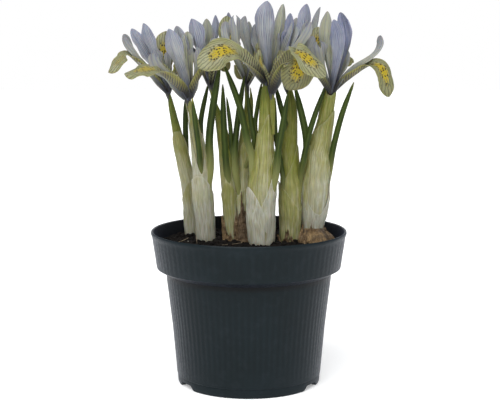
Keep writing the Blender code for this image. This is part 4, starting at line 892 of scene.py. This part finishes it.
def makeSheathLook():
    look, tree, shader = newLook("sheathSkin", 0.48)
    shader.inputs["Subsurface Weight"].default_value = 0.15
    shader.inputs["Subsurface Scale"].default_value = 0.8 * mm
    shader.inputs["Specular IOR Level"].default_value = 0.35
    uv, x, y = mapParts(tree, "sizeMap")
    streaks = useGroup(tree, fibres, Finer=2.6, Stretch=26.0, Wander=1.2)["Fibres"]
    broad = useGroup(tree, fibres, Finer=0.8, Stretch=22.0, Wander=1.5)["Fibres"]
    patches = useGroup(tree, mottle, Size=6.0)["Patches"]
    green = calc(tree, "ADD", tintOf(tree, "tint"), calc(tree, "MULTIPLY_ADD", broad, 0.22, -0.11))
    green = calc(tree, "ADD", green, calc(tree, "MULTIPLY_ADD", patches, 0.16, -0.08))
    body = ramp(tree, green, [(place, paint(*c)) for place, c in sheathLook["ramp"]])
    # long pale and dark streaks over the colour below them
    shade = mixed(tree, streaks, (0.72, 0.72, 0.66, 1), (1.3, 1.3, 1.34, 1))
    body = mixed(tree, 1.0, body, shade, "MULTIPLY")
    sway = calc(tree, "MULTIPLY", broad, 2.6)
    ribs = calc(tree, "SINE", calc(tree, "MULTIPLY_ADD", x, 5.2, sway))
    dark = calc(tree, "MULTIPLY", span(tree, ribs, 0.2, 1.0), 0.14)
    body = mixed(tree, dark, body, paint(96, 100, 44))
    papery = calc(tree, "SUBTRACT", 1.0, span(tree, tintOf(tree, "tint"), 0.1, 0.5))
    folds = useGroup(tree, creases, Size=2.8, Stretch=6.0)["Creases"]
    # painted highlight: pale streaks along the creases of the dry sheaths
    body = mixed(tree, calc(tree, "MULTIPLY", calc(tree, "MULTIPLY", folds, papery), 0.24), body, paint(206, 206, 192))
    # pale rims along the edges: partly the sheath's own thin pale margin, partly painted highlight
    edge = calc(tree, "MULTIPLY", tintOf(tree, "margin"), calc(tree, "MULTIPLY_ADD", papery, 0.3, 0.14))
    body = mixed(tree, edge, body, paint(208, 206, 190))
    dirt = calc(tree, "MULTIPLY", tintOf(tree, "dirt"), span(tree, patches, 0.1, 0.7, 0.5, 1.0))
    body = mixed(tree, calc(tree, "MULTIPLY", dirt, 0.8), body, paint(88, 76, 50))
    tree.links.new(body, shader.inputs["Base Color"])
    height = calc(tree, "ADD", calc(tree, "MULTIPLY", ribs, 0.3), streaks)
    height = calc(tree, "ADD", height, calc(tree, "MULTIPLY", calc(tree, "MULTIPLY", folds, papery), 1.3))
    relief(tree, shader, height, 0.16, 0.7)
    return look


sheathSkin = makeSheathLook()


def sheathPiece(name, shoot, low, facing, wrap, off, greenLow, greenHigh, crumple, edge):
    seed = sum(ord(letter) for letter in name)
    tip = max(z for _, z in edge)
    rows, cols = 50, 60
    grid, shares, sizes, tints, margins, dirts = [], [], [], [], [], []
    for i in range(rows + 1):
        v = i / rows
        line, lineShares, lineSizes = [], [], []
        for j in range(cols + 1):
            u = 2 * j / cols - 1
            top = profileAt(edge, u) + 0.5 * lumps((u * 5, 0, 0), seed, 3)
            z = low + (top - low) * v
            x, y, half = shootAt(shoot, z)
            turn = math.radians(facing + u * wrap / 2)
            nearEdge = ease(abs(u), 0.75, 1.0) * ease(v, 0.3, 1.0)
            atTip = ease(v, 0.86, 1.0)
            rough = crumple * (1 - 0.5 * v)
            wide = half + off + 0.3 * u + rough * lumps((u * 3, z / 9, 0), seed)
            wide += 0.9 * crumple * abs(lumps((u * 4 + 0.09 * z, z / 30, 5), seed, 2)) + 0.15 * nearEdge + 0.1 * atTip
            wide += 0.06 * math.cos(26 * turn)
            flare = 1.2 * crumple * ease(low + 5 - z, 0, 5)
            wide = max(wide + flare * lumps((u * 6, 3, 3), seed), 0.35)
            line.append((x + wide * math.cos(turn), y + shootDepth * wide * math.sin(turn), z))
            lineShares.append(((u + 1) / 2, v))
            lineSizes.append((u * math.radians(wrap) / 2 * 4.5, z))
            tints.append(greenLow + (greenHigh - greenLow) * ease(z, low + 0.25 * (tip - low), tip))
            # share of the pale rim at the side and top edges, partly painted highlight
            margins.append(max(ease(abs(u), 0.93, 1.0), ease(v, 0.965, 1.0)))
            dirts.append(ease(84 - z, 0, 8))
        grid.append(line)
        shares.append(lineShares)
        sizes.append(lineSizes)
    blends = {"tint": tints, "margin": margins, "dirt": dirts}
    return sheetPiece(name, grid, shares, sizes, 0.28, [sheathSkin], blends)


shootNodes = {"eSide": "shoot_e_side"}
for shoot, layer, *values in layers:
    node = shootNodes.get(shoot, f"shoot_{shoot}")
    settle(sheathPiece(f"{layer}_{shoot}", shoot, *values), "sheath", node)
print("sheaths made")


# Leaves: width, and a route from the foot to the tip

leaves = {
    "a_right": (3.3, (-36, 22.6, 129), (-36.3, 21.5, 147), (-35.4, 20.5, 163)),
    "b_front": (3.4, (-26.9, -4.7, 118), (-27.6, -5.6, 132), (-29.4, -7.2, 147), (-31, -9, 161)),
    "b_back": (3.0, (-26.6, 2.6, 137), (-26.6, 3.4, 149), (-22.6, 5, 168)),
    "b_right": (4.2, (-21.6, -1.2, 122), (-21.9, -2.4, 138), (-19.9, -4.2, 155), (-15.8, -6, 178.5)),
    "c_front": (3.7, (-11.3, 0.6, 110), (-12.9, 0, 126), (-13.9, -0.8, 146), (-14.4, -1.4, 168)),
    "c_right": (2.6, (-9.8, 0.2, 127), (-10.1, 0.5, 142), (-12.3, 1, 161)),
    "d_left": (3.5, (-7.4, 0.5, 120), (-7.6, 1.6, 134), (-5.6, 4.2, 152), (-2.4, 6.2, 172.5)),
    "e_left_long": (3.8, (1.7, -9.5, 128), (-0.9, -9.5, 138), (-5.2, -8.5, 157), (-13.4, -7.5, 179)),
    "d_front": (3.2, (3, -4.4, 135), (1.6, -2.5, 146), (-0.9, 2.2, 163.5)),
    "e_left_back": (2.6, (3.6, -1.6, 144), (4.6, -0.4, 154), (7.2, 1.6, 169)),
    "f_left": (2.8, (20, -5, 108), (17.5, -4.6, 126), (14.9, -2.8, 140), (14.5, -2.4, 161)),
    "f_cross": (3.2, (20.8, -1.8, 143), (17.6, -0.4, 156), (14.6, 2, 168)),
    "e_right": (3.6, (14.9, -12, 119), (16.4, -11, 134), (19.1, -9, 149), (21.6, -7, 164)),
    "g_left": (4.0, (32.4, -4.6, 128), (31.3, -3.8, 142), (25.4, -1, 167.5)),
    "f_right": (3.3, (28.3, -3.4, 112), (30.3, -6.4, 127), (34.6, -7.4, 146), (42.6, -7.5, 169)),
    "g_right": (3.4, (45, -4.2, 119), (46.9, -5.6, 134), (51.4, -6.2, 152), (57.6, -7, 169.5)),
}
leafShares = ((0, 0.8), (0.18, 1.05), (0.5, 1.0), (0.8, 0.86), (0.95, 0.45), (1, 0.12))
yellowTips = {"b_front": 1.0, "a_right": 0.3, "g_right": 0.3}


def makeLeafLook():
    look, tree, shader = newLook("leafSkin", 0.5)
    shader.inputs["Subsurface Weight"].default_value = 0.06
    shader.inputs["Subsurface Scale"].default_value = 0.6 * mm
    shader.inputs["Specular IOR Level"].default_value = 0.2
    uv, x, y = mapParts(tree, "shareMap")
    streaks = useGroup(tree, fibres, Finer=3.2, Stretch=30.0, Wander=0.4)["Fibres"]
    patches = useGroup(tree, mottle, Size=9.0)["Patches"]
    body = mixed(tree, patches, paint(32, 46, 8), paint(48, 64, 12))
    body = mixed(tree, calc(tree, "MULTIPLY", streaks, 0.25), body, paint(66, 84, 18))
    ridge = tintOf(tree, "ridge")
    body = mixed(tree, calc(tree, "MULTIPLY", ridge, 0.4), body, paint(86, 100, 36))
    foot = calc(tree, "SUBTRACT", 1.0, span(tree, y, 0.12, 0.46))
    body = mixed(tree, calc(tree, "MULTIPLY", foot, 0.9), body, paint(138, 140, 84))
    ends = calc(tree, "MULTIPLY", span(tree, y, 0.93, 1.0), tintOf(tree, "tint"))
    body = mixed(tree, ends, body, paint(150, 146, 60))
    tree.links.new(body, shader.inputs["Base Color"])
    relief(tree, shader, streaks, 0.1, 0.5)
    return look


leafSkin = makeLeafLook()


def leafPiece(name, width, *route):
    shoot = name[0]
    foot = Vector(route[0])
    x, y, half = shootAt(shoot, foot.z)
    if abs(foot.x - x) < half:
        # the foot lies just inside the sheath
        bulge = shootDepth * math.sqrt(half**2 - (foot.x - x) ** 2)
        foot.y = y + math.copysign(max(bulge - 0.9, 0.0), foot.y - y)
    x, y, half = shootAt(shoot, foot.z - 14)
    centre = Vector((x, y, foot.z - 14))
    away = Vector((foot.x - x, foot.y - y, 0))
    start = centre + away * min(1.0, half * 0.75 / max(away.length, 0.1))
    spine, length = evenRoute(throughPoints((start, foot, *route[1:]), 120), 60)
    seed = sum(ord(letter) for letter in name)
    rings, ridges, tints = [], [], []
    cols = 20
    for i, centre in enumerate(spine):
        v = i / 60
        tangent = (spine[min(i + 1, 60)] - spine[max(i - 1, 0)]).normalized()
        side = Vector((1, 0, 0))
        side = (side - side.dot(tangent) * tangent).normalized()
        turn = 14 * math.sin(seed) + 10 * math.sin(2.2 * v + seed)
        side = Matrix.Rotation(math.radians(turn), 3, tangent) @ side
        normal = tangent.cross(side)
        wide = width / 2 * profileAt(leafShares, v)
        ring = []
        for k in range(cols):
            a = 2 * math.pi * k / cols
            c, s = math.cos(a), math.sin(a)
            # four-cornered section with drawn-in faces
            star = (abs(c) ** 1.35 + abs(s) ** 1.35) ** (-1 / 1.35)
            p = centre + side * (wide * star * c) + normal * (0.46 * wide * star * s)
            ring.append(p[:])
            ridges.append(max(abs(c), abs(s)) ** 24)
            tints.append(yellowTips.get(name, 0.12))
        rings.append(ring)
    return loftPiece(f"leaf_{name}", rings, [leafSkin], {"ridge": ridges, "tint": tints}, 75)


for name, (width, *route) in leaves.items():
    settle(leafPiece(name, width, *route), "leaf", f"leaf_{name}")
print("leaves made")


# Bulbs, with their netted coats

bulbs = {
    "d": (0.9, (-2.8, 2, 72, 3.2), (-2.8, 2, 78, 4.6), (-3.0, 2.5, 84, 4.5), (-3.2, 3, 92, 3.7), (-3.4, 4, 99.2, 2.8)),
    "g": (0.92, (38.0, -0.6, 69, 5.0), (38.4, -0.8, 74, 8.8), (38.5, -0.8, 79.5, 10.2), (37.8, 0.2, 83.5, 9.0), (36.5, 1.8, 87.2, 5.6)),
}


def makeTunicLook():
    look, tree, shader = newLook("tunicSkin", 0.6)
    uv, x, y = mapParts(tree, "sizeMap")
    patches = useGroup(tree, mottle, Size=5.0)["Patches"]
    rough = useGroup(tree, mottle, Size=3.4, Detail=5.0)["Patches"]
    streaks = useGroup(tree, fibres, Finer=2.2, Stretch=7.0, Wander=1.6)["Fibres"]
    body = mixed(tree, patches, paint(128, 98, 60), paint(174, 144, 98))
    dark = calc(tree, "MAXIMUM", tintOf(tree, "tint"), calc(tree, "MULTIPLY", span(tree, rough, 0.5, 0.9), 0.8))
    body = mixed(tree, calc(tree, "MULTIPLY", dark, 0.9), body, paint(58, 38, 22))
    stretch = addNode(tree, "ShaderNodeVectorMath", {0: uv, 1: (1.0, 0.4, 1.0)}, operation="MULTIPLY")
    cells = addNode(tree, "ShaderNodeTexVoronoi", {"Vector": stretch.outputs[0], "Scale": 0.95, "Randomness": 0.9}, feature="DISTANCE_TO_EDGE", voronoi_dimensions="2D")
    net = calc(tree, "SUBTRACT", 1.0, span(tree, cells.outputs["Distance"], 0.02, 0.12))
    body = mixed(tree, calc(tree, "MULTIPLY", net, 0.5), body, paint(86, 58, 36))
    body = mixed(tree, calc(tree, "MULTIPLY", streaks, 0.3), body, paint(184, 160, 122))
    tree.links.new(body, shader.inputs["Base Color"])
    relief(tree, shader, calc(tree, "ADD", calc(tree, "ADD", net, streaks), calc(tree, "MULTIPLY", rough, 3.0)), 0.4, 0.9)
    return look


tunicSkin = makeTunicLook()


def bulbAt(letter, z):
    # a shoot with no bulb in sight still has scales about its foot
    if letter not in bulbs:
        return shootAt(letter, z)
    return [profileAt([(s[2], s[k]) for s in bulbs[letter][1:]], z) for k in (0, 1, 3)]


def bulbPiece(letter):
    ratio, *stations = bulbs[letter]
    low, high = stations[0][2], stations[-1][2]
    seed = 4 if letter == "g" else 9
    rings, tints = [], []
    for i in range(57):
        z = low + (high - low) * i / 56
        x, y, half = bulbAt(letter, z)
        ring = []
        for k in range(90):
            a = 2 * math.pi * k / 90
            bump = lumps((math.cos(a) * 1.6, math.sin(a) * 1.6, z / 6), seed, 4)
            wide = half * (0.95 + 0.1 * bump) - 0.25 + 0.14 * math.cos(14 * a + 0.3 * z)
            ring.append((x + wide * math.cos(a), y + ratio * wide * math.sin(a), z))
            tints.append(max(ease(bump, 0.1, 0.4), ease(-bump, 0.1, 0.4)) + (0.6 if letter == "d" else 0.0))
        rings.append(ring)
    return loftPiece(f"bulb_{letter}_body", rings, [tunicSkin], {"tint": tints})


def flakePiece(name, letter, azimuth, wrap, low, tip, off, lift, brown, seed):
    # a torn scale of the bulb's coat, standing off at its top
    ratio = bulbs[letter][0] if letter in bulbs else shootDepth
    rows, cols = 34, 26
    grid, shares, sizes = [], [], []
    for i in range(rows + 1):
        v = i / rows
        line, lineShares, lineSizes = [], [], []
        for j in range(cols + 1):
            u = 2 * j / cols - 1
            ragged = 0.4 * lumps((u * 5, 0, 0), seed, 4)
            z = low + (tip - low) * v * (1 - 0.75 * abs(u) ** 1.6 + ragged)
            x, y, half = bulbAt(letter, z)
            narrow = 1 - 0.35 * v
            a = math.radians(azimuth + u * wrap / 2 * narrow)
            wide = half + off + lift * v**2 + 0.9 * lumps((u * 3, v * 4, 0), seed, 4) + 0.12 * math.cos(u * 22)
            line.append((x + wide * math.cos(a), y + ratio * wide * math.sin(a), z))
            lineShares.append(((u + 1) / 2, v))
            lineSizes.append((u * half * math.radians(wrap) / 2, z))
        grid.append(line)
        shares.append(lineShares)
        sizes.append(lineSizes)
    tints = np.full((rows + 1, cols + 1), brown)
    return sheetPiece(name, grid, shares, sizes, 0.22, [tunicSkin], {"tint": tints})


# name, bulb, azimuth, wrap, low, tip, stand-off, lift, brownness, seed
flakes = (
    ("g_front", "g", 255, 80, 76, 88.8, 0.2, 0.6, 0.0, 3),
    ("g_left", "g", 205, 70, 75, 88.5, 0.3, 1.0, 0.25, 5),
    ("g_right", "g", 318, 62, 75, 87.0, 0.4, 1.4, 0.75, 7),
    ("g_back", "g", 85, 120, 75, 88.0, 0.2, 0.5, 0.3, 11),
    ("g_low", "g", 290, 60, 74, 83.5, 0.7, 1.2, 0.1, 13),
    ("g_corner", "g", 228, 46, 75, 84.0, 0.8, 1.0, 0.5, 23),
    ("d_front", "d", 262, 110, 77, 103.5, 0.2, 0.2, 0.9, 15),
    ("d_left", "d", 200, 90, 77, 95.0, 0.35, 0.6, 0.6, 17),
    ("d_right", "d", 325, 90, 76, 90.0, 0.4, 0.5, 0.8, 19),
    ("d_back", "d", 90, 120, 77, 97.0, 0.2, 0.4, 0.7, 21),
    ("c_left", "c", 210, 110, 76, 90.5, 0.5, 1.6, 0.2, 27),
    ("c_front", "c", 262, 60, 76, 84.0, 0.7, 0.8, 0.5, 29),
    ("f_front", "f", 255, 110, 75, 85.5, 0.6, 0.8, 0.75, 31),
    ("f_left", "f", 200, 70, 75, 83.5, 0.7, 0.9, 0.6, 33),
)
for letter in bulbs:
    settle(bulbPiece(letter), "bulb_tunic", f"bulb_{letter}")
for name, letter, *values in flakes:
    node = f"bulb_{letter}" if letter in bulbs else f"shoot_{letter}"
    settle(flakePiece(f"flake_{name}", letter, *values), "bulb_tunic", node)
print("bulbs made")


# Compost: a rough slab, crumbs, white grit and a few root threads

soil = {"top": 79.5, "edge": 78.6, "low": 60.0, "radius": 51.6, "floorRadius": 45.0}


def makeSoilLook():
    look, tree, shader = newLook("compost", 0.9)
    shader.inputs["Specular IOR Level"].default_value = 0.15
    grains = useGroup(tree, mottle, Size=1.6, Detail=5.0)["Patches"]
    patches = useGroup(tree, mottle, Size=9.0)["Patches"]
    body = mixed(tree, grains, paint(5, 4, 4), paint(24, 20, 17))
    body = mixed(tree, calc(tree, "MULTIPLY", patches, 0.4), body, paint(30, 22, 16))
    tree.links.new(body, shader.inputs["Base Color"])
    relief(tree, shader, grains, 0.8, 0.9)
    return look


compost = makeSoilLook()


def soilHeight(x, y):
    r = math.hypot(x, y)
    z = soil["top"] + (soil["edge"] - soil["top"]) * ease(r, 20, 52)
    return z + 1.2 * lumps((x / 9, y / 9, 0), 3, 4) + 0.7 * lumps((x / 2.4, y / 2.4, 4), 5, 3)


def soilPiece():
    rings = []
    steps = 180
    for radius, z in ((38.0, 5.2), (42.0, 40.0), (44.6, 60.0), (50.0, 67.0), (52.0, 74.0)):
        rings.append([(radius * math.cos(2 * math.pi * k / steps), radius * math.sin(2 * math.pi * k / steps), z) for k in range(steps)])
    for step in range(80):
        radius = max(52.3 * (1 - step / 79), 0.15)
        ring = []
        for k in range(steps):
            a = 2 * math.pi * k / steps
            x, y = radius * math.cos(a), radius * math.sin(a)
            ring.append((x, y, soilHeight(x, y)))
        rings.append(ring)
    return loftPiece("soil_body", rings, [compost])


def lumpMesh(centre, size, flat, seed, points, faces):
    # one small rough lump, a cut-down ball pushed about by noise
    start = len(points)
    bands, around = 5, 8
    for i in range(bands + 1):
        polar = math.pi * i / bands
        for k in range(around):
            a = 2 * math.pi * k / around
            d = Vector((math.sin(polar) * math.cos(a), math.sin(polar) * math.sin(a), math.cos(polar)))
            swell = size * (1 + 0.45 * lumps(d * 1.1, seed, 2))
            points.append((centre[0] + d.x * swell, centre[1] + d.y * swell, centre[2] + d.z * swell * flat))
    for i in range(bands):
        for k in range(around):
            n = (k + 1) % around
            a, b = start + i * around, start + (i + 1) * around
            faces.append((a + k, b + k, b + n, a + n))


def lumpsPiece(name, look, count, sizes, reach, seed, flat=0.7):
    chance = random.Random(seed)
    points, faces = [], []
    for n in range(count):
        radius = reach * math.sqrt(chance.random())
        a = chance.uniform(0, 2 * math.pi)
        size = chance.uniform(*sizes) * chance.uniform(0.6, 1.0)
        x, y = radius * math.cos(a), radius * math.sin(a)
        lumpMesh((x, y, soilHeight(x, y) + 0.15 * size), size, flat, n * 0.37, points, faces)
    uv = [(points[k][0], points[k][1]) for face in faces for k in face]
    return finishMesh(name, points, faces, uv, uv, [look], np.zeros(len(faces), np.int32), {}, 60)


def threadPiece(name, look, routes, radius, seed):
    points, faces = [], []
    for route in routes:
        spine, length = evenRoute(throughPoints(route, 60), 24)
        start = len(points)
        for i, centre in enumerate(spine):
            tangent = (spine[min(i + 1, 24)] - spine[max(i - 1, 0)]).normalized()
            side = tangent.orthogonal().normalized()
            other = tangent.cross(side)
            for k in range(6):
                a = math.pi * k / 3
                p = centre + radius * (math.cos(a) * side + math.sin(a) * other) * (1 - 0.6 * i / 24)
                points.append(p[:])
        for i in range(24):
            for k in range(6):
                a, b, n = start + i * 6, start + (i + 1) * 6, (k + 1) % 6
                faces.append((a + k, a + n, b + n, b + k))
    uv = [(points[k][0], points[k][2]) for face in faces for k in face]
    return finishMesh(name, points, faces, uv, uv, [look], np.zeros(len(faces), np.int32), {}, 80)


def makeGritLook():
    look, tree, shader = newLook("paleGrit", 0.8)
    grains = useGroup(tree, mottle, Size=1.2, Detail=4.0)["Patches"]
    tree.links.new(mixed(tree, grains, paint(120, 116, 104), paint(176, 172, 160)), shader.inputs["Base Color"])
    relief(tree, shader, grains, 0.3, 0.8)
    return look


def makeThreadLook():
    look, tree, shader = newLook("rootThread", 0.7)
    grains = useGroup(tree, mottle, Size=2.0, Detail=4.0)["Patches"]
    tree.links.new(mixed(tree, grains, paint(84, 72, 56), paint(142, 128, 104)), shader.inputs["Base Color"])
    relief(tree, shader, grains, 0.1, 0.8)
    return look


paleGrit, rootThread = makeGritLook(), makeThreadLook()
settle(soilPiece(), "soil", "soil")
settle(lumpsPiece("soil_crumbs", compost, 1150, (0.45, 1.9), 51.5, 11), "soil", "soil")
settle(lumpsPiece("soil_grit", paleGrit, 9, (0.35, 0.8), 49, 18), "soil", "soil")
rootRoutes = [((-29.5, -6, 84.0), (-29.2, -8, 82.5), (-28.8, -10.5, 80.6), (-28.6, -13, 79.6)),
              ((-34, -2, 82), (-37, -5, 81), (-41, -8, 80.2)), ((-4, -10, 80.6), (-9, -13, 80.4), (-15, -14, 80.2))]
settle(threadPiece("soil_roots", rootThread, rootRoutes, 0.22, 3), "soil", "soil")
print("compost made")


# The pot

pot = {
    "steps": 672, "flutes": 84, "bodyDepth": 0.1, "collarDepth": 0.08,
    "profile": ((36.9, 3.0), (36.9, 0.9), (37.3, 0.25), (37.8, 0.0), (39.7, 0.0), (40.1, 0.3), (40.3, 0.9), (40.5, 4.4), (40.35, 4.9), (40.4, 5.2),
                (40.75, 5.4), (40.85, 5.8), (41.9, 18), (43.2, 32.5), (44.9, 47), (46.4, 59.6), (46.5, 61.6), (46.8, 62.9),
                (51.2, 65.4), (51.8, 65.8), (52.0, 66.7), (52.8, 72.5), (53.7, 78.4), (54.2, 82.0), (54.4, 83.5), (54.75, 84.1), (54.95, 84.8),
                (55.0, 85.4), (54.85, 85.95), (54.5, 86.3), (54.1, 86.2), (53.7, 85.9), (53.3, 84.4), (52.6, 80), (51.4, 73), (50.5, 67.4),
                (49.0, 65.4), (45.8, 63.6), (45.3, 62), (42.6, 39), (39.6, 13), (38.6, 4.8), (37.8, 4.6)),
    "notches": (-30.0, 90.0, 210.0), "notchDepth": 2.7, "lipPlace": 30, "ledgeShadePlaces": (16, 17, 18),
}
potFloor = {"radius": 38.0, "low": 3.0, "top": 4.6, "hole": 4.5, "holePlace": 25.0}


def makePotLook():
    look, tree, shader = newLook("potPlastic", 0.4)
    shader.inputs["Specular IOR Level"].default_value = 0.13
    shader.inputs["Sheen Weight"].default_value = 0.05
    shader.inputs["Sheen Roughness"].default_value = 0.45
    shader.inputs["Sheen Tint"].default_value = (0.5, 0.62, 1.0, 1)
    patches = useGroup(tree, mottle, Size=26.0, Detail=4.0)["Patches"]
    fine = useGroup(tree, mottle, Size=1.4, Detail=5.0)["Patches"]
    body = mixed(tree, patches, paint(19, 29, 32), paint(22, 33, 37))
    dusty = useGroup(tree, mottle, Size=5.0, Detail=6.0)["Patches"]
    body = mixed(tree, calc(tree, "MULTIPLY", span(tree, dusty, 0.55, 1.0), 0.1), body, paint(52, 58, 66))
    # painted shade in the flute grooves
    body = mixed(tree, calc(tree, "MULTIPLY", tintOf(tree, "fluteShade"), 0.42), body, paint(13, 21, 23))
    # painted shade: the inner wall and the ledge under the collar are painted dark
    body = mixed(tree, calc(tree, "MULTIPLY", tintOf(tree, "paintedShade"), 0.85), body, paint(9, 8, 7))
    tree.links.new(body, shader.inputs["Base Color"])
    tree.links.new(span(tree, fine, 0.0, 1.0, 0.34, 0.46), shader.inputs["Roughness"])
    relief(tree, shader, fine, 0.06, 0.5)
    return look


def potPiece():
    turns = [2 * math.pi * k / pot["steps"] for k in range(pot["steps"])]
    rings, paintedShade, grooveShade = [], [], []
    for place, (radius, z) in enumerate(pot["profile"]):
        outside = 7 <= place <= 27
        ring = []
        for a in turns:
            depth = 0.0
            if outside and z > 5.5:
                fade = ease(z, 6.5, 9) * (1 - ease(z, 58.5, 61))
                depth = pot["bodyDepth"] * fade + pot["collarDepth"] * ease(z, 66, 67.5) * (1 - ease(z, 81, 83.5))
            wave = 0.5 - 0.5 * math.cos(pot["flutes"] * a)
            r = radius - depth * (1 - wave)
            height = z
            if z < 3.4:
                for notch in pot["notches"]:
                    away = abs((math.degrees(a) - notch + 180) % 360 - 180)
                    height = max(height, pot["notchDepth"] * (1 - ease(away, 6.0, 11.5)) + 0.12 * z)
            ring.append((r * math.cos(a), r * math.sin(a), height))
            # painted shade past the lip and on the ledge under the collar
            paintedShade.append(1.0 if place > pot["lipPlace"] else 0.8 if place in pot["ledgeShadePlaces"] else 0.0)
            # how deep each point lies in a flute groove, used for the painted shade
            grooveShade.append(depth / pot["bodyDepth"] * (1 - wave))
        rings.append(ring)
    return loftPiece("pot_shell", rings, [potPlastic], {"paintedShade": paintedShade, "fluteShade": grooveShade}, 32, ringClosed=True)


def potFloorPiece():
    # a round plate with its drain holes, cut out of a flat net of points
    from mathutils.geometry import delaunay_2d_cdt
    plate = potFloor
    outline = [(plate["radius"], 0.0, 0.0, 168)]
    for k in range(4):
        place = heading(45 + 90 * k) * plate["holePlace"]
        outline.append((plate["hole"], place.x, place.y, 32))
    points, edges = [], []
    for radius, cx, cy, count in outline:
        start = len(points)
        for k in range(count):
            a = 2 * math.pi * k / count
            points.append(Vector((cx + radius * math.cos(a), cy + radius * math.sin(a))))
            edges.append((start + k, start + (k + 1) % count))
    net, _, found, *_ = delaunay_2d_cdt(points, edges, [], 0, 1e-6)
    holes = [(cx, cy) for _, cx, cy, _ in outline[1:]]
    flat = []
    for face in found:
        mid = sum((net[k] for k in face), Vector((0, 0))) / len(face)
        if mid.length < plate["radius"] and all(math.hypot(mid.x - x, mid.y - y) > plate["hole"] * 0.999 for x, y in holes):
            flat.append(face)
    far = len(net)
    places = [(p.x, p.y, plate["low"]) for p in net] + [(p.x, p.y, plate["top"]) for p in net]
    faces = [tuple(reversed(face)) for face in flat] + [tuple(k + far for k in face) for face in flat]
    for index, (a, b) in enumerate(edges):
        faces.append((a, b, b + far, a + far))
    uv = [(places[k][0], places[k][1]) for face in faces for k in face]
    return finishMesh("pot_floor", places, faces, uv, uv, [potPlastic], np.zeros(len(faces), np.int32), {"paintedShade": np.zeros(2 * far), "fluteShade": np.zeros(2 * far)}, 30)


potPlastic = makePotLook()
settle(potPiece(), "pot_plastic", "pot")
settle(potFloorPiece(), "pot_plastic", "pot")
print("pot made")


# Camera, floor and light

def addCamera():
    lens = bpy.data.cameras.new("photoCamera")
    lens.sensor_width = 36
    lens.lens = 90.71
    lens.shift_x = 0.0024
    lens.clip_start = 0.01
    camera = bpy.data.objects.new("photoCamera", lens)
    camera.location = (0, -0.70, 0.2028)
    camera.rotation_euler = (math.radians(90 - 8.095), 0, 0)
    scene.collection.objects.link(camera)
    scene.camera = camera


def addFloor():
    mesh = bpy.data.meshes.new("paleFloor")
    side = 3.0
    mesh.from_pydata([(-side, -side, 0), (side, -side, 0), (side, side, 0), (-side, side, 0)], [], [(0, 1, 2, 3)])
    look, tree, shader = newLook("palePaper", 0.9)
    shader.inputs["Base Color"].default_value = (0.9, 0.9, 0.9, 1)
    shader.inputs["Specular IOR Level"].default_value = 0.0
    shader.inputs["Emission Color"].default_value = (1, 1, 1, 1)
    shader.inputs["Emission Strength"].default_value = 0.3
    mesh.materials.append(look)
    floor = bpy.data.objects.new("paleFloor", mesh)
    scene.collection.objects.link(floor)


def addLight(name, place, aim, size, power):
    light = bpy.data.lights.new(name, "AREA")
    light.shape = "RECTANGLE"
    light.size, light.size_y = size
    light.energy = power
    lamp = bpy.data.objects.new(name, light)
    lamp.location = place
    lamp.rotation_euler = (Vector(aim) - Vector(place)).to_track_quat("-Z", "Y").to_euler()
    scene.collection.objects.link(lamp)


def addSun(name, azimuth, height, spread, strength):
    light = bpy.data.lights.new(name, "SUN")
    light.angle = math.radians(spread)
    light.energy = strength
    lamp = bpy.data.objects.new(name, light)
    toLamp = heading(azimuth) * math.cos(math.radians(height)) + upward * math.sin(math.radians(height))
    lamp.rotation_euler = toLamp.to_track_quat("Z", "Y").to_euler()
    scene.collection.objects.link(lamp)


def addWorld():
    # plain white to the camera, softer as a light
    world = bpy.data.worlds.new("studio")
    world.use_nodes = True
    tree = world.node_tree
    seen = tree.nodes["Background"]
    seen.inputs[0].default_value = (1, 1, 1, 1)
    seen.inputs[1].default_value = 1.0
    glow = addNode(tree, "ShaderNodeBackground", {"Color": (0.95, 0.97, 1.0, 1), "Strength": 0.42})
    path = tree.nodes.new("ShaderNodeLightPath")
    both = addNode(tree, "ShaderNodeMixShader", {0: path.outputs["Is Camera Ray"], 1: glow.outputs[0], 2: seen.outputs[0]})
    tree.links.new(both.outputs[0], tree.nodes["World Output"].inputs[0])
    scene.world = world


addCamera()
addFloor()
addWorld()
addSun("softKey", 252, 48, 60, 2.8)
addSun("softBack", 80, 40, 70, 0.7)
addLight("softFill", (0.9, -0.6, 0.6), (0, 0, 0.13), (0.7, 0.7), 1.2)
scene.view_settings.view_transform = "Standard"
